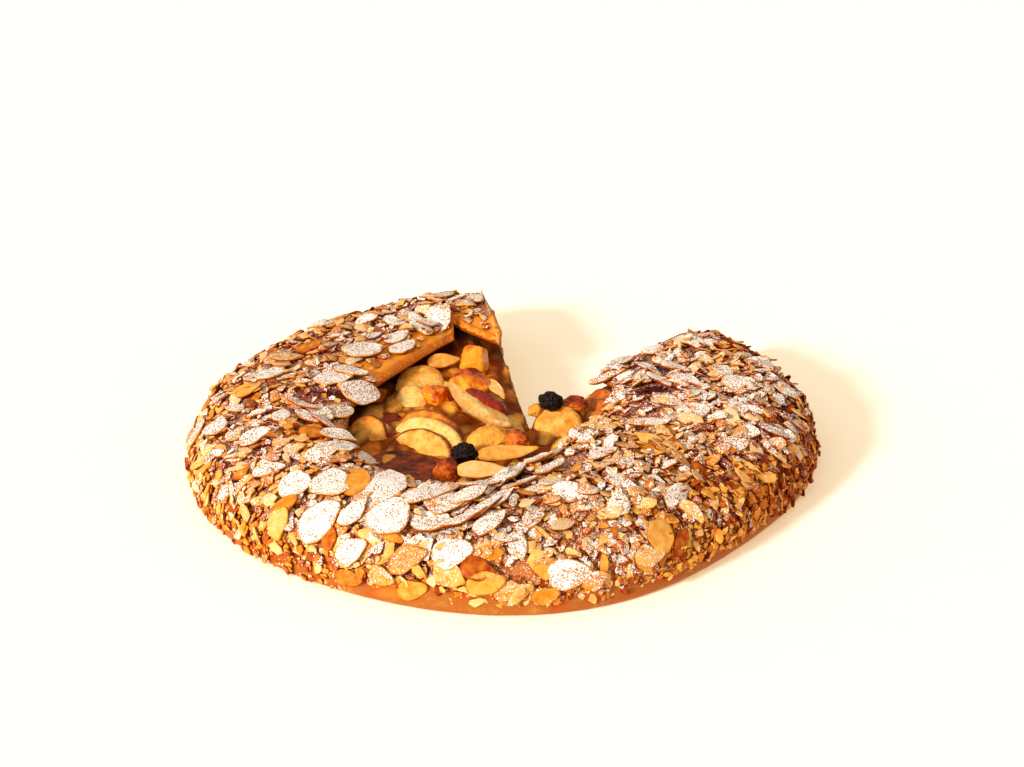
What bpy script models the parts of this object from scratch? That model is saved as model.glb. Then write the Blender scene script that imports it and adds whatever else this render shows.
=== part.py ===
"""Apple and almond galette with one slice taken out.

A round pastry case is folded over an apple filling in wide pleats and leaves an
opening round the middle. Flaked and chopped almonds cover it. One slice is gone
at the back, so the case and the filling end in two cut faces that meet in a tip.
Metres, +Z up, the origin on the surface it stands on, under the middle of the whole.
"""
import math
import random

import bmesh
import bpy
from mathutils import Matrix, Vector

# Whole
RIM_RADIUS = 0.130
RIM_WAVES = ((1, 0.0024, -176.0), (2, 0.0023, 106.0), (4, 0.0027, 12.0), (5, 0.0010, 6.0))
MIDDLE_SHIFT = Vector((0.0020, 0.0006, 0.0))
TOUCH_GAP = 0.0003
SMOOTH_BELOW = math.radians(40.0)

# Missing slice
TIP = Vector((0.0085, -0.0120))
LEFT_CUT = 98.2
RIGHT_CUT = 49.7 + 360.0
LEFT_CUT_LEAN = 0.0064
RIGHT_CUT_LEAN = 0.0015
LEAN_RUN = 0.025

# Pastry case
CRUST_HEIGHT = 0.0310
SHEET_THICKNESS = 0.0050
FLAP_THICKNESS = 0.0048
WALL_THICKNESS = 0.0105
CRUST_SECTIONS = 66
FLAP_EDGE = (
    (0.0040, 0.0520), (-0.0063, 0.0636), (-0.0256, 0.0822), (-0.0236, 0.0679), (-0.0603, 0.0032),
    (-0.0655, -0.0070), (-0.0665, -0.0320), (-0.0587, -0.0527), (-0.0490, -0.0650), (-0.0426, -0.0745),
    (-0.0268, -0.0790), (-0.0111, -0.0756), (0.0047, -0.0633), (0.0209, -0.0450), (0.0336, -0.0239),
    (0.0390, -0.0116), (0.0455, 0.0030), (0.0440, 0.0150), (0.0376, 0.0229), (0.0300, 0.0180),
)
# Each pleat: direction at the opening, direction at the rim, height of its step
PLEATS = (
    (111.5, 116.0, 0.0018), (171.0, 176.0, 0.0020), (214.0, 205.0, 0.0012),
    (266.0, 244.0, 0.0022), (318.0, 308.0, 0.0012), (377.0, 354.0, 0.0026),
)
PLEAT_SPREAD = 13.0
PLEAT_VALLEY = 0.45
PLEAT_VALLEY_SPREAD = 5.0
# Where the case has sunk at the back, beside the left cut: direction, spread, depth
CRUST_SAG = (103.0, 14.0, 0.0022)
CRUST_SWELL = 0.0006
# The case's outer skin, foot to shoulder: inset from the rim, height, share of the swell,
# share of a pleat's step, how far out along the pleat that step is read
OUTER_SKIN = (
    (0.0030, 0.0000, 0.0, 0.0, 1.0), (0.0010, 0.0012, 0.0, 0.0, 1.0), (0.0002, 0.0040, 0.0, 0.0, 1.0),
    (0.0000, 0.0080, 0.0, 0.0, 1.0), (0.0008, 0.0135, 0.0, 0.0, 1.0), (0.0038, 0.0190, 0.0, 0.3, 1.0),
    (0.0095, 0.0245, 0.0, 0.6, 1.0), (0.0190, 0.0285, 1.0, 0.8, 0.9), (0.0310, 0.0305, 1.0, 1.0, 0.75),
)
# The folded edge at the opening: inset from the edge, depth below the top, share of a pleat's step,
# how far out along the pleat that step is read
FOLDED_EDGE = (
    (0.0060, 0.0004, 1.0, 0.1), (0.0012, 0.0016, 1.0, 0.0), (0.0000, 0.0032, 1.0, 0.0),
    (0.0012, FLAP_THICKNESS, 0.6, 0.0), (0.0100, FLAP_THICKNESS, 0.5, 0.1),
)
# The case's inner wall, flap to sheet: inset from the wall, height
INNER_WALL = ((0.0130, 0.0252), (0.0035, 0.0205), (0.0000, 0.0120), (0.0015, 0.0072), (0.0070, SHEET_THICKNESS))

# Filling
FILLING_TOP = 0.0208
FILLING_BUMP = 0.0011
# Hollows in its top: middle, radius, depth
FILLING_HOLLOWS = ((Vector((-0.0400, -0.0500)), 0.0170, 0.0065), (Vector((0.0130, -0.0270)), 0.0110, 0.0060))
# How far its cut faces stand proud of the case's, in degrees
FILLING_BULGE = 0.7
FILLING_SECTIONS = 36

# Almonds on the case
FLAKE_COUNT = 102
FLAKE_SIDES = 8
FLAKE_THICKNESS = 0.0016
FLAKE_LIFT = 0.0002
NIB_COUNT = 56
# Turns that spread the pieces evenly: along the rim, and up the slope
EVEN_TURN = 0.6180339887
EVEN_CLIMB = 0.754877
TOPPING_SEED = 7

# Apple slices: foot ends in plan, height of the foot, size up the face, thickness, lean from upright
APPLE_SLICES = {
    "apple_slice_1": ((-0.0525, -0.0245), (-0.0262, -0.0430), 0.0120, 0.0185, 0.0030, 44.0),
    "apple_slice_2": ((-0.0530, -0.0165), (-0.0220, -0.0405), 0.0130, 0.0195, 0.0030, 42.0),
    "apple_slice_3": ((-0.0505, -0.0085), (-0.0220, -0.0305), 0.0135, 0.0180, 0.0028, 40.0),
    "apple_slice_4": ((-0.0695, -0.0205), (-0.0510, -0.0250), 0.0130, 0.0180, 0.0040, 44.0),
    "apple_slice_5": ((-0.0485, 0.0225), (-0.0275, 0.0225), 0.0205, 0.0200, 0.0036, 80.0),
    "apple_slice_6": ((-0.0490, 0.0120), (-0.0345, 0.0110), 0.0160, 0.0135, 0.0060, 58.0),
    "apple_slice_7": ((-0.0200, 0.0265), (0.0030, -0.0185), 0.0228, 0.0125, 0.0055, -72.0),
    "apple_slice_8": ((-0.0115, -0.0165), (0.0070, -0.0180), 0.0170, 0.0105, 0.0040, 55.0),
    "apple_slice_9": ((0.0080, -0.0150), (0.0320, -0.0190), 0.0095, 0.0230, 0.0085, 40.0),
    "apple_slice_10": ((0.0320, -0.0030), (0.0430, -0.0080), 0.0165, 0.0140, 0.0030, 40.0),
    "apple_slice_11": ((0.0315, 0.0060), (0.0440, 0.0010), 0.0170, 0.0140, 0.0032, 40.0),
}
SLICE_STEPS = 10
SLICE_FULLNESS = 0.65

# Lumps in the opening: centre, radii, turn about the vertical, roughness of the outline, subdivisions
FRUIT_LUMPS = {
    "caramel_apple_1": ((-0.0150, 0.0470, 0.0240), (0.0064, 0.0100, 0.0066), 10.0, 0.10, 2),
    "caramel_apple_2": ((-0.0158, 0.0195, 0.0262), (0.0082, 0.0086, 0.0052), 30.0, 0.12, 2),
    "caramel_apple_3": ((-0.0100, 0.0010, 0.0268), (0.0118, 0.0036, 0.0030), -50.0, 0.10, 2),
    "glazed_apple": ((-0.0305, 0.0165, 0.0222), (0.0066, 0.0056, 0.0042), -15.0, 0.10, 2),
    "golden_apple": ((-0.0082, -0.0295, 0.0225), (0.0088, 0.0066, 0.0064), 10.0, 0.08, 2),
    "sultana_1": ((0.0036, -0.0305, 0.0235), (0.0054, 0.0050, 0.0046), -12.0, 0.12, 2),
    "sultana_2": ((-0.0243, -0.0560, 0.0225), (0.0056, 0.0050, 0.0062), 0.0, 0.12, 2),
    "sultana_3": ((0.0280, -0.0020, 0.0268), (0.0056, 0.0040, 0.0036), -20.0, 0.12, 2),
    "raisin_1": ((0.0178, -0.0065, 0.0302), (0.0050, 0.0040, 0.0040), -15.0, 0.14, 2),
    "raisin_2": ((-0.0178, -0.0470, 0.0264), (0.0052, 0.0044, 0.0042), 10.0, 0.14, 2),
    "apple_nib": ((0.0112, -0.0044, 0.0250), (0.0036, 0.0026, 0.0026), 20.0, 0.10, 1),
}

# Almond flakes loose in the opening: centre, half length, half width, turn, tilt
LOOSE_FLAKES = {
    "almond_flake_1": ((-0.0288, 0.0465, 0.0242), 0.0070, 0.0048, 12.0, 10.0),
    "almond_flake_2": ((-0.0013, -0.0460, 0.0262), 0.0115, 0.0042, 15.0, 20.0),
    "almond_flake_3": ((-0.0112, -0.0600, 0.0258), 0.0092, 0.0044, 2.0, 22.0),
    "almond_flake_4": ((-0.0054, 0.0135, 0.0268), 0.0100, 0.0024, -70.0, 6.0),
    "almond_flake_5": ((-0.0560, 0.0135, 0.0232), 0.0056, 0.0042, 60.0, 15.0),
}
LOOSE_FLAKE_THICKNESS = 0.0014

# Colours, as the oven and the glaze leave them
BAKED_CRUST = (0.66, 0.33, 0.11)
COOKED_APPLE = (0.84, 0.63, 0.28)
APPLE_SLICE = (0.89, 0.68, 0.31)
CARAMEL_APPLE = (0.80, 0.42, 0.10)
GOLDEN_SULTANA = (0.52, 0.20, 0.05)
DARK_RAISIN = (0.03, 0.02, 0.02)
TOASTED_ALMOND = (0.85, 0.66, 0.40)


def fresh_collection(name):
    collection = bpy.data.collections.new(name)
    bpy.context.scene.collection.children.link(collection)
    return collection


def dress(item, name, colour, roughness):
    """Give the object its one material, and shade its round faces smooth."""
    material = bpy.data.materials.new(name)
    material.use_nodes = True
    shader = material.node_tree.nodes["Principled BSDF"]
    shader.inputs["Base Color"].default_value = (*colour, 1.0)
    shader.inputs["Roughness"].default_value = roughness
    shader.inputs["Metallic"].default_value = 0.0
    item.data.materials.clear()
    item.data.materials.append(material)
    for face in item.data.polygons:
        face.material_index = 0
    item.data.shade_smooth()
    item.data.set_sharp_from_angle(angle=SMOOTH_BELOW)


def object_from_bmesh(name, shape, collection):
    mesh = bpy.data.meshes.new(name)
    bmesh.ops.recalc_face_normals(shape, faces=shape.faces)
    shape.to_mesh(mesh)
    shape.free()
    item = bpy.data.objects.new(name, mesh)
    collection.objects.link(item)
    return item


def keep_largest_body(item):
    """Drop the loose scraps that a cut may leave."""
    shape = bmesh.new()
    shape.from_mesh(item.data)
    waiting = set(shape.faces)
    bodies = []
    while waiting:
        body = [waiting.pop()]
        for face in body:
            for edge in face.edges:
                for other in edge.link_faces:
                    if other in waiting:
                        waiting.remove(other)
                        body.append(other)
        bodies.append(body)
    bodies.sort(key=len)
    scraps = [face for body in bodies[:-1] for face in body]
    bmesh.ops.delete(shape, geom=scraps, context="FACES")
    shape.to_mesh(item.data)
    shape.free()


def apply_boolean(item, operation, others, solver="EXACT"):
    """One Boolean on a collection, applied at once."""
    cut = item.modifiers.new(operation.lower(), "BOOLEAN")
    cut.operation = operation
    cut.operand_type = "COLLECTION"
    cut.collection = others
    cut.solver = solver
    bpy.context.view_layer.update()
    graph = bpy.context.evaluated_depsgraph_get()
    result = bpy.data.meshes.new_from_object(item.evaluated_get(graph))
    item.modifiers.clear()
    item.data = result
    keep_largest_body(item)


def remove_objects(collection):
    for item in list(collection.objects):
        bpy.data.objects.remove(item, do_unlink=True)


def direction(angle):
    return Vector((math.cos(math.radians(angle)), math.sin(math.radians(angle))))


def rim_radius(angle):
    """The hand-shaped rim: a circle with slow waves, angle about the middle."""
    waves = sum(size * math.cos(count * angle - math.radians(turn)) for count, size, turn in RIM_WAVES)
    return RIM_RADIUS + waves


def reach_of_rim(angle):
    """Distance from the tip of the missing slice to the rim."""
    ray = direction(angle)
    along = TIP.dot(ray)
    radius = RIM_RADIUS
    for _ in range(5):
        reach = -along + math.sqrt(along * along - TIP.length_squared + radius * radius)
        place = TIP + ray * reach
        radius = rim_radius(math.atan2(place.y, place.x))
    return reach


def reach_of_flap(angle):
    """Distance from the tip to the edge of the folded flap."""
    ray = direction(angle)
    reach = None
    for start, end in zip(FLAP_EDGE, FLAP_EDGE[1:]):
        a = Vector(start) - TIP
        b = Vector(end) - TIP
        side_a = ray.cross(a)
        side_b = ray.cross(b)
        if side_a * side_b > 0.0 or side_a == side_b:
            continue
        hit = a.lerp(b, side_a / (side_a - side_b))
        distance = hit.dot(ray)
        if distance > 0.0 and (reach is None or distance > reach):
            reach = distance
    return reach


def pleat_step(angle, outward):
    """Height of the overlapping pleats, outward from 0 at the opening to 1 at the rim."""
    height = 0.0
    for at_opening, at_rim, step in PLEATS:
        crease = at_opening + (at_rim - at_opening) * outward
        turn = angle - crease
        if turn >= 0.0:
            height -= PLEAT_VALLEY * step * math.exp(-turn / PLEAT_VALLEY_SPREAD)
        else:
            height += step * math.exp(turn / PLEAT_SPREAD)
    return height


def crust_section(angle):
    """Outline of the case in the upright plane at this angle, as distances from the tip and heights."""
    rim = reach_of_rim(angle)
    edge = reach_of_flap(angle)
    wall = rim - WALL_THICKNESS
    sag_middle, sag_spread, sag_depth = CRUST_SAG
    swell = CRUST_SWELL * math.sin(math.radians(5.0 * angle + 40.0))
    swell -= sag_depth * math.exp(-(((angle - sag_middle) / sag_spread) ** 2))
    top = CRUST_HEIGHT + swell
    outline = []
    for inset, height, swelling, folding, outward in OUTER_SKIN:
        outline.append((rim - inset, height + swelling * swell + folding * pleat_step(angle, outward)))
    shoulder = outline[-1][0]
    outline.append((0.5 * (shoulder + edge + 0.005), top + pleat_step(angle, 0.45)))
    for inset, depth, folding, outward in FOLDED_EDGE:
        outline.append((edge + inset, top - depth + folding * pleat_step(angle, outward)))
    for inset, height in INNER_WALL:
        outline.append((wall - inset, height))
    return outline


def filling_top(place):
    """Height of the filling's uneven top at a place in plan."""
    height = FILLING_TOP
    height += FILLING_BUMP * math.sin(310.0 * place.x + 1.0) * math.sin(260.0 * place.y + 2.0)
    for middle, radius, depth in FILLING_HOLLOWS:
        away = (place - middle).length / radius
        height -= depth * math.exp(-away * away)
    return height


def filling_section(angle):
    """Outline of the filling inside the case, a touch gap clear of it."""
    wall = reach_of_rim(angle) - WALL_THICKNESS
    edge = reach_of_flap(angle)
    base = SHEET_THICKNESS + TOUCH_GAP
    top = []
    for step in (1.0, 0.8, 0.6, 0.4, 0.2):
        top.append((step * edge, filling_top(TIP + direction(angle) * step * edge)))
    return [
        (wall - 0.0078, base),
        (wall - 0.0022, 0.0074),
        (wall - 0.0006, 0.0120),
        (wall - 0.0044, 0.0198),
        (wall - 0.0130, FILLING_TOP + 0.0010),
    ] + top


def place_in_plan(angle, reach, height, lean):
    """A point of a section in space. Lean pushes the foot of a cut face into the gap."""
    ray = direction(angle)
    side = Vector((ray.y, -ray.x))
    push = lean * (0.5 - height / CRUST_HEIGHT) * min(1.0, reach / LEAN_RUN)
    plan = TIP + ray * reach + side * push
    return Vector((plan.x, plan.y, height)) + MIDDLE_SHIFT


def loft_round_tip(name, angles, section, tip_heights, collection):
    """Join upright sections that all share the tip's edge, and close the two cut faces."""
    shape = bmesh.new()
    foot, head = [shape.verts.new(place_in_plan(LEFT_CUT, 0.0, height, 0.0)) for height in tip_heights]
    rings = []
    for number, angle in enumerate(angles):
        lean = 0.0
        if number == 0:
            lean = LEFT_CUT_LEAN
        elif number == len(angles) - 1:
            lean = -RIGHT_CUT_LEAN
        ring = [shape.verts.new(place_in_plan(angle, reach, height, lean)) for reach, height in section(angle)]
        rings.append([foot] + ring + [head])
    for near, far in zip(rings, rings[1:]):
        shape.faces.new((foot, near[1], far[1]))
        for low in range(1, len(near) - 2):
            shape.faces.new((near[low], near[low + 1], far[low + 1], far[low]))
        shape.faces.new((near[-2], head, far[-2]))
    shape.faces.new(rings[0])
    shape.faces.new(list(reversed(rings[-1])))
    return object_from_bmesh(name, shape, collection)


def turns(start, end, count):
    return [start + (end - start) * number / count for number in range(count + 1)]


def crust_angles():
    """Even turns, with a pair either side of the step between the two back flaps."""
    angles = turns(LEFT_CUT, RIGHT_CUT, CRUST_SECTIONS)
    corner = math.degrees(math.atan2(FLAP_EDGE[3][1] - TIP.y, FLAP_EDGE[3][0] - TIP.x))
    back = math.degrees(math.atan2(FLAP_EDGE[2][1] - TIP.y, FLAP_EDGE[2][0] - TIP.x))
    angles = [angle for angle in angles if not back - 1.5 < angle < corner + 1.5]
    return sorted(angles + [back - 0.3, corner + 0.3])


def skin_point(angle, inward):
    """Point on the outer skin, inward from 0 low on the rim to 1 at the edge of the flap."""
    outline = crust_section(angle)[3:12]
    lengths = [math.dist(a, b) for a, b in zip(outline, outline[1:])]
    left = inward * sum(lengths)
    for number, length in enumerate(lengths):
        if left <= length or number == len(lengths) - 1:
            part = left / length
            reach = outline[number][0] + (outline[number + 1][0] - outline[number][0]) * part
            height = outline[number][1] + (outline[number + 1][1] - outline[number][1]) * part
            return place_in_plan(angle, reach, height, 0.0)
        left -= length


def skin_frame(angle, inward):
    """Point on the outer skin and the way out of it."""
    here = skin_point(angle, inward)
    along = skin_point(angle + 2.0, inward) - skin_point(angle - 2.0, inward)
    across = skin_point(angle, min(inward + 0.04, 0.97)) - skin_point(angle, max(inward - 0.04, 0.0))
    out = across.cross(along).normalized()
    if out.z < 0.0:
        out = -out
    return here, out


def almond_plate(name, half_length, half_width, thickness, sides, collection):
    """A flaked almond: a flat oval, a little pointed at one end."""
    shape = bmesh.new()
    bmesh.ops.create_cone(shape, cap_ends=True, segments=sides, radius1=1.0, radius2=0.9, depth=thickness)
    for vert in shape.verts:
        taper = 1.0 - 0.18 * vert.co.x
        vert.co.x *= half_length
        vert.co.y *= half_width * taper
    return object_from_bmesh(name, shape, collection)


def chopped_nib(name, size, draw, collection):
    """A chopped almond piece: a small block with uneven corners."""
    shape = bmesh.new()
    bmesh.ops.create_cube(shape, size=1.0)
    for vert in shape.verts:
        stretch = (draw.uniform(0.7, 1.1), draw.uniform(0.6, 0.9), draw.uniform(0.4, 0.6))
        vert.co = Vector([value * size * part for value, part in zip(vert.co, stretch)])
    return object_from_bmesh(name, shape, collection)


def stand_on_skin(item, angle, inward, lift, turn, tilt):
    here, out = skin_frame(angle, inward)
    upright = out.to_track_quat("Z", "X").to_matrix().to_4x4()
    spin = Matrix.Rotation(turn, 4, "Z") @ Matrix.Rotation(tilt, 4, "X")
    item.matrix_world = Matrix.Translation(here + out * lift) @ upright @ spin


def scatter_almonds(draw, collection):
    """Flakes spread evenly over the folded top, chopped pieces down the outer slope."""
    for number in range(FLAKE_COUNT):
        share = (number * EVEN_TURN) % 1.0
        angle = LEFT_CUT + 4.0 + (RIGHT_CUT - LEFT_CUT - 8.0) * share
        inward = 0.24 + 0.68 * ((number + 0.5) / FLAKE_COUNT) + draw.uniform(-0.02, 0.02)
        half_length = draw.uniform(0.0068, 0.0092)
        half_width = half_length * draw.uniform(0.56, 0.76)
        flake = almond_plate("flake", half_length, half_width, FLAKE_THICKNESS, FLAKE_SIDES, collection)
        stand_on_skin(flake, angle, inward, FLAKE_LIFT, draw.uniform(0.0, math.tau), draw.uniform(-0.10, 0.10))
    for number in range(NIB_COUNT):
        share = (number * EVEN_TURN + 0.31) % 1.0
        angle = LEFT_CUT + 2.0 + (RIGHT_CUT - LEFT_CUT - 4.0) * share
        inward = 0.06 + 0.20 * ((number * EVEN_CLIMB) % 1.0)
        nib = chopped_nib("nib", draw.uniform(0.0040, 0.0058), draw, collection)
        stand_on_skin(nib, angle, inward, FLAKE_LIFT, draw.uniform(0.0, math.tau), 0.0)


def pastry_crust(parts, toppings):
    """The folded case, with its almonds fused to it."""
    tip_heights = (0.0, SHEET_THICKNESS)
    crust = loft_round_tip("pastry_crust", crust_angles(), crust_section, tip_heights, parts)
    scatter_almonds(random.Random(TOPPING_SEED), toppings)
    apply_boolean(crust, "UNION", toppings)
    remove_objects(toppings)
    dress(crust, "baked crust", BAKED_CRUST, 0.55)


def apple_slice(name, left, right, foot, height, thickness, lean, collection):
    """A half moon of apple on its straight side, leaning away from its front face."""
    shape = bmesh.new()
    left = Vector(left)
    right = Vector(right)
    half = 0.5 * (right - left).length
    outline = []
    for step in range(SLICE_STEPS + 1):
        swing = math.pi * step / SLICE_STEPS
        outline.append((half * math.cos(swing), height * (0.12 + 0.88 * math.sin(swing) ** SLICE_FULLNESS)))
    outline += [(-0.55 * half, -0.06 * height), (0.55 * half, -0.06 * height)]
    front = [shape.verts.new((x, -0.5 * thickness, z)) for x, z in outline]
    back = [shape.verts.new((x * 0.97, 0.5 * thickness, z * 0.97)) for x, z in outline]
    shape.faces.new(front)
    shape.faces.new(list(reversed(back)))
    for number in range(len(outline)):
        after = (number + 1) % len(outline)
        shape.faces.new((front[number], back[number], back[after], front[after]))
    item = object_from_bmesh(name, shape, collection)
    heading = math.atan2(right.y - left.y, right.x - left.x)
    middle = 0.5 * (left + right)
    place = Matrix.Translation(Vector((middle.x, middle.y, foot)) + MIDDLE_SHIFT)
    turn = Matrix.Rotation(heading, 4, "Z") @ Matrix.Rotation(math.radians(-lean), 4, "X")
    item.matrix_world = place @ turn


def fruit_lump(name, centre, radii, turn, unevenness, subdivisions, draw, collection):
    """A soft uneven lump: a cooked piece of apple, a sultana or a raisin."""
    shape = bmesh.new()
    bmesh.ops.create_icosphere(shape, subdivisions=subdivisions, radius=1.0)
    waves = [(draw.uniform(0.0, math.tau), draw.uniform(2.0, 3.5)) for _ in range(3)]
    for vert in shape.verts:
        swell = 1.0
        for axis, (start, count) in enumerate(waves):
            swell += unevenness * 0.5 * math.sin(count * vert.co[axis] * 2.0 + start)
        vert.co = Vector([value * size * swell for value, size in zip(vert.co, radii)])
    item = object_from_bmesh(name, shape, collection)
    place = Matrix.Translation(Vector(centre) + MIDDLE_SHIFT)
    item.matrix_world = place @ Matrix.Rotation(math.radians(turn), 4, "Z")


def loose_flake(name, centre, half_length, half_width, turn, tilt, collection):
    item = almond_plate(name, half_length, half_width, LOOSE_FLAKE_THICKNESS, FLAKE_SIDES + 2, collection)
    spin = Matrix.Rotation(math.radians(turn), 4, "Z") @ Matrix.Rotation(math.radians(tilt), 4, "X")
    item.matrix_world = Matrix.Translation(Vector(centre) + MIDDLE_SHIFT) @ spin


def bake_place(item):
    """Move an object's place into its mesh."""
    item.data.transform(item.matrix_world)
    item.matrix_world = Matrix.Identity(4)


def add_room(name, mesh, collection):
    """A piece a touch gap larger all round, to cut its room out of what lies round it."""
    shape = bmesh.new()
    shape.from_mesh(mesh)
    shape.normal_update()
    growth = 1.5 * TOUCH_GAP
    moved = [vert.co + vert.normal * growth * min(1.4, vert.calc_shell_factor()) for vert in shape.verts]
    for vert, place in zip(shape.verts, moved):
        vert.co = place
    shape.to_mesh(mesh)
    shape.free()
    room = bpy.data.objects.new(name, mesh)
    room.hide_render = True
    room.display_type = "WIRE"
    collection.objects.link(room)


def colour_of(name):
    """Colour and roughness of a piece in the opening, by its name."""
    if name.startswith("raisin"):
        return DARK_RAISIN, 0.25
    if name.startswith("sultana"):
        return GOLDEN_SULTANA, 0.25
    if name.startswith("almond"):
        return TOASTED_ALMOND, 0.5
    if name.startswith("apple_slice"):
        return APPLE_SLICE, 0.35
    return CARAMEL_APPLE, 0.25


def pieces_in_opening(parts, rooms):
    """Fruit, loose flakes and apple slices, each cut clear of those laid before it."""
    draw = random.Random(TOPPING_SEED + 1)
    for name, (centre, radii, turn, unevenness, subdivisions) in FRUIT_LUMPS.items():
        fruit_lump(name, centre, radii, turn, unevenness, subdivisions, draw, parts)
    for name, (centre, half_length, half_width, turn, tilt) in LOOSE_FLAKES.items():
        loose_flake(name, centre, half_length, half_width, turn, tilt, parts)
    for name, (left, right, foot, height, thickness, lean) in APPLE_SLICES.items():
        apple_slice(name, left, right, foot, height, thickness, lean, parts)
    bpy.context.view_layer.update()
    for name in [*FRUIT_LUMPS, *LOOSE_FLAKES, *APPLE_SLICES]:
        piece = parts.objects[name]
        bake_place(piece)
        whole = piece.data.copy()
        if rooms.objects:
            apply_boolean(piece, "DIFFERENCE", rooms, "MANIFOLD")
        add_room(name + "_room", whole, rooms)
        dress(piece, name, *colour_of(name))


def apple_filling(parts, rooms):
    """The filling between the two cut faces, with room for each piece that lies in it."""
    angles = turns(LEFT_CUT - FILLING_BULGE, RIGHT_CUT + FILLING_BULGE, FILLING_SECTIONS)
    tip_heights = (SHEET_THICKNESS + TOUCH_GAP, FILLING_TOP)
    filling = loft_round_tip("apple_filling", angles, filling_section, tip_heights, parts)
    apply_boolean(filling, "DIFFERENCE", rooms, "MANIFOLD")
    dress(filling, "apple filling", COOKED_APPLE, 0.4)


def main():
    for item in list(bpy.data.objects):
        bpy.data.objects.remove(item, do_unlink=True)
    parts = fresh_collection("apple_galette")
    toppings = fresh_collection("almonds_to_fuse")
    rooms = fresh_collection("rooms_for_pieces")
    pastry_crust(parts, toppings)
    pieces_in_opening(parts, rooms)
    apple_filling(parts, rooms)


main()
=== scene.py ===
"""Apple and almond galette with a wedge-shaped gap: its finish, with lights and a camera.

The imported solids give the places. The crust with its almonds, the filling and each piece of fruit are
modelled again here in full detail, from the same formulas and places as the solids. Metres, +Z up.
"""
import math
import random

import bmesh
import bpy
import numpy as np
from mathutils import Matrix, Vector, noise


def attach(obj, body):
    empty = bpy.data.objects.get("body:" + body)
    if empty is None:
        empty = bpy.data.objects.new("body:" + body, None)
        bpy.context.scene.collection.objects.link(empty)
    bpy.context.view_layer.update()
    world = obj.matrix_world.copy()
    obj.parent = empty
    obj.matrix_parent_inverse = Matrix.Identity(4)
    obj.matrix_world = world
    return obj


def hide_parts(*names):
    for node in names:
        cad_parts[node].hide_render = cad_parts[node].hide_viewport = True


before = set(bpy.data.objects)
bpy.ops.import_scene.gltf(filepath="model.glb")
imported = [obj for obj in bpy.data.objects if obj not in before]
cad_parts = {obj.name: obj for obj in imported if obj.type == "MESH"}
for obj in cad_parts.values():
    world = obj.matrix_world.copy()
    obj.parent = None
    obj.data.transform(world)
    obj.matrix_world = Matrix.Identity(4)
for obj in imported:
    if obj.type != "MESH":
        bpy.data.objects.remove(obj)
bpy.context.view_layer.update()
MM = 0.001

# The case, as in the solids
RIM_RADIUS = 0.130
RIM_WAVES = ((1, 0.0024, -176.0), (2, 0.0023, 106.0), (4, 0.0027, 12.0), (5, 0.0010, 6.0))
MIDDLE_SHIFT = Vector((0.0020, 0.0006, 0.0))
TIP = Vector((0.0085, -0.0120))
LEFT_CUT = 98.2
RIGHT_CUT = 49.7 + 360.0
LEFT_CUT_LEAN = 0.0064
RIGHT_CUT_LEAN = 0.0015
LEAN_RUN = 0.025
CRUST_HEIGHT = 0.0310
SHEET_THICKNESS = 0.0050
FLAP_THICKNESS = 0.0048
WALL_THICKNESS = 0.0105
FLAP_EDGE = (
    (0.0040, 0.0520), (-0.0063, 0.0636), (-0.0256, 0.0822), (-0.0236, 0.0679), (-0.0603, 0.0032),
    (-0.0655, -0.0070), (-0.0665, -0.0320), (-0.0587, -0.0527), (-0.0490, -0.0650), (-0.0426, -0.0745),
    (-0.0268, -0.0790), (-0.0111, -0.0756), (0.0047, -0.0633), (0.0209, -0.0450), (0.0336, -0.0239),
    (0.0390, -0.0116), (0.0455, 0.0030), (0.0440, 0.0150), (0.0376, 0.0229), (0.0300, 0.0180),
)
# Each pleat: direction at the opening, direction at the rim, height of its step
PLEATS = (
    (111.5, 116.0, 0.0018), (171.0, 176.0, 0.0020), (214.0, 205.0, 0.0012),
    (266.0, 244.0, 0.0022), (318.0, 308.0, 0.0012), (377.0, 354.0, 0.0026),
)
PLEAT_SPREAD = 13.0
PLEAT_VALLEY = 0.45
PLEAT_VALLEY_SPREAD = 5.0
CRUST_SAG = (103.0, 14.0, 0.0022)
CRUST_SWELL = 0.0006
# Inset from the rim, height, share of the swell, share of a pleat's step, where that step is read
OUTER_SKIN = (
    (0.0030, 0.0000, 0.0, 0.0, 1.0), (0.0010, 0.0012, 0.0, 0.0, 1.0), (0.0002, 0.0040, 0.0, 0.0, 1.0),
    (0.0000, 0.0080, 0.0, 0.0, 1.0), (0.0008, 0.0135, 0.0, 0.0, 1.0), (0.0038, 0.0190, 0.0, 0.3, 1.0),
    (0.0095, 0.0245, 0.0, 0.6, 1.0), (0.0190, 0.0285, 1.0, 0.8, 0.9), (0.0310, 0.0305, 1.0, 1.0, 0.75),
)
FOLDED_EDGE = (
    (0.0060, 0.0004, 1.0, 0.1), (0.0012, 0.0016, 1.0, 0.0), (0.0000, 0.0032, 1.0, 0.0),
    (0.0012, FLAP_THICKNESS, 0.6, 0.0), (0.0100, FLAP_THICKNESS, 0.5, 0.1),
)
INNER_WALL = (
    (0.0130, 0.0252), (0.0035, 0.0205), (0.0000, 0.0120), (0.0015, 0.0072), (0.0070, SHEET_THICKNESS),
)
# Between these turns the folded edge is a strip without almonds, beyond this share of the way up the skin
FIRST_FLAP = (108.0, 158.0)
BARE_STRIP = 0.94

# The filling, as in the solids
FILLING_TOP = 0.0208
FILLING_BUMP = 0.0011
FILLING_HOLLOWS = (
    (Vector((-0.0400, -0.0500)), 0.0170, 0.0065), (Vector((0.0130, -0.0270)), 0.0110, 0.0060),
)
FILLING_BULGE = 0.7
FILLING_BASE = SHEET_THICKNESS + 0.0003
# Inset from the wall and height, over the filling's side and under it
FILLING_SHOULDER = ((0.0130, FILLING_TOP + 0.0010), (0.0044, 0.0198), (0.0006, 0.0120))
FILLING_FOOT = ((0.0078, FILLING_BASE), (0.0022, 0.0074), (0.0006, 0.0120))

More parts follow.
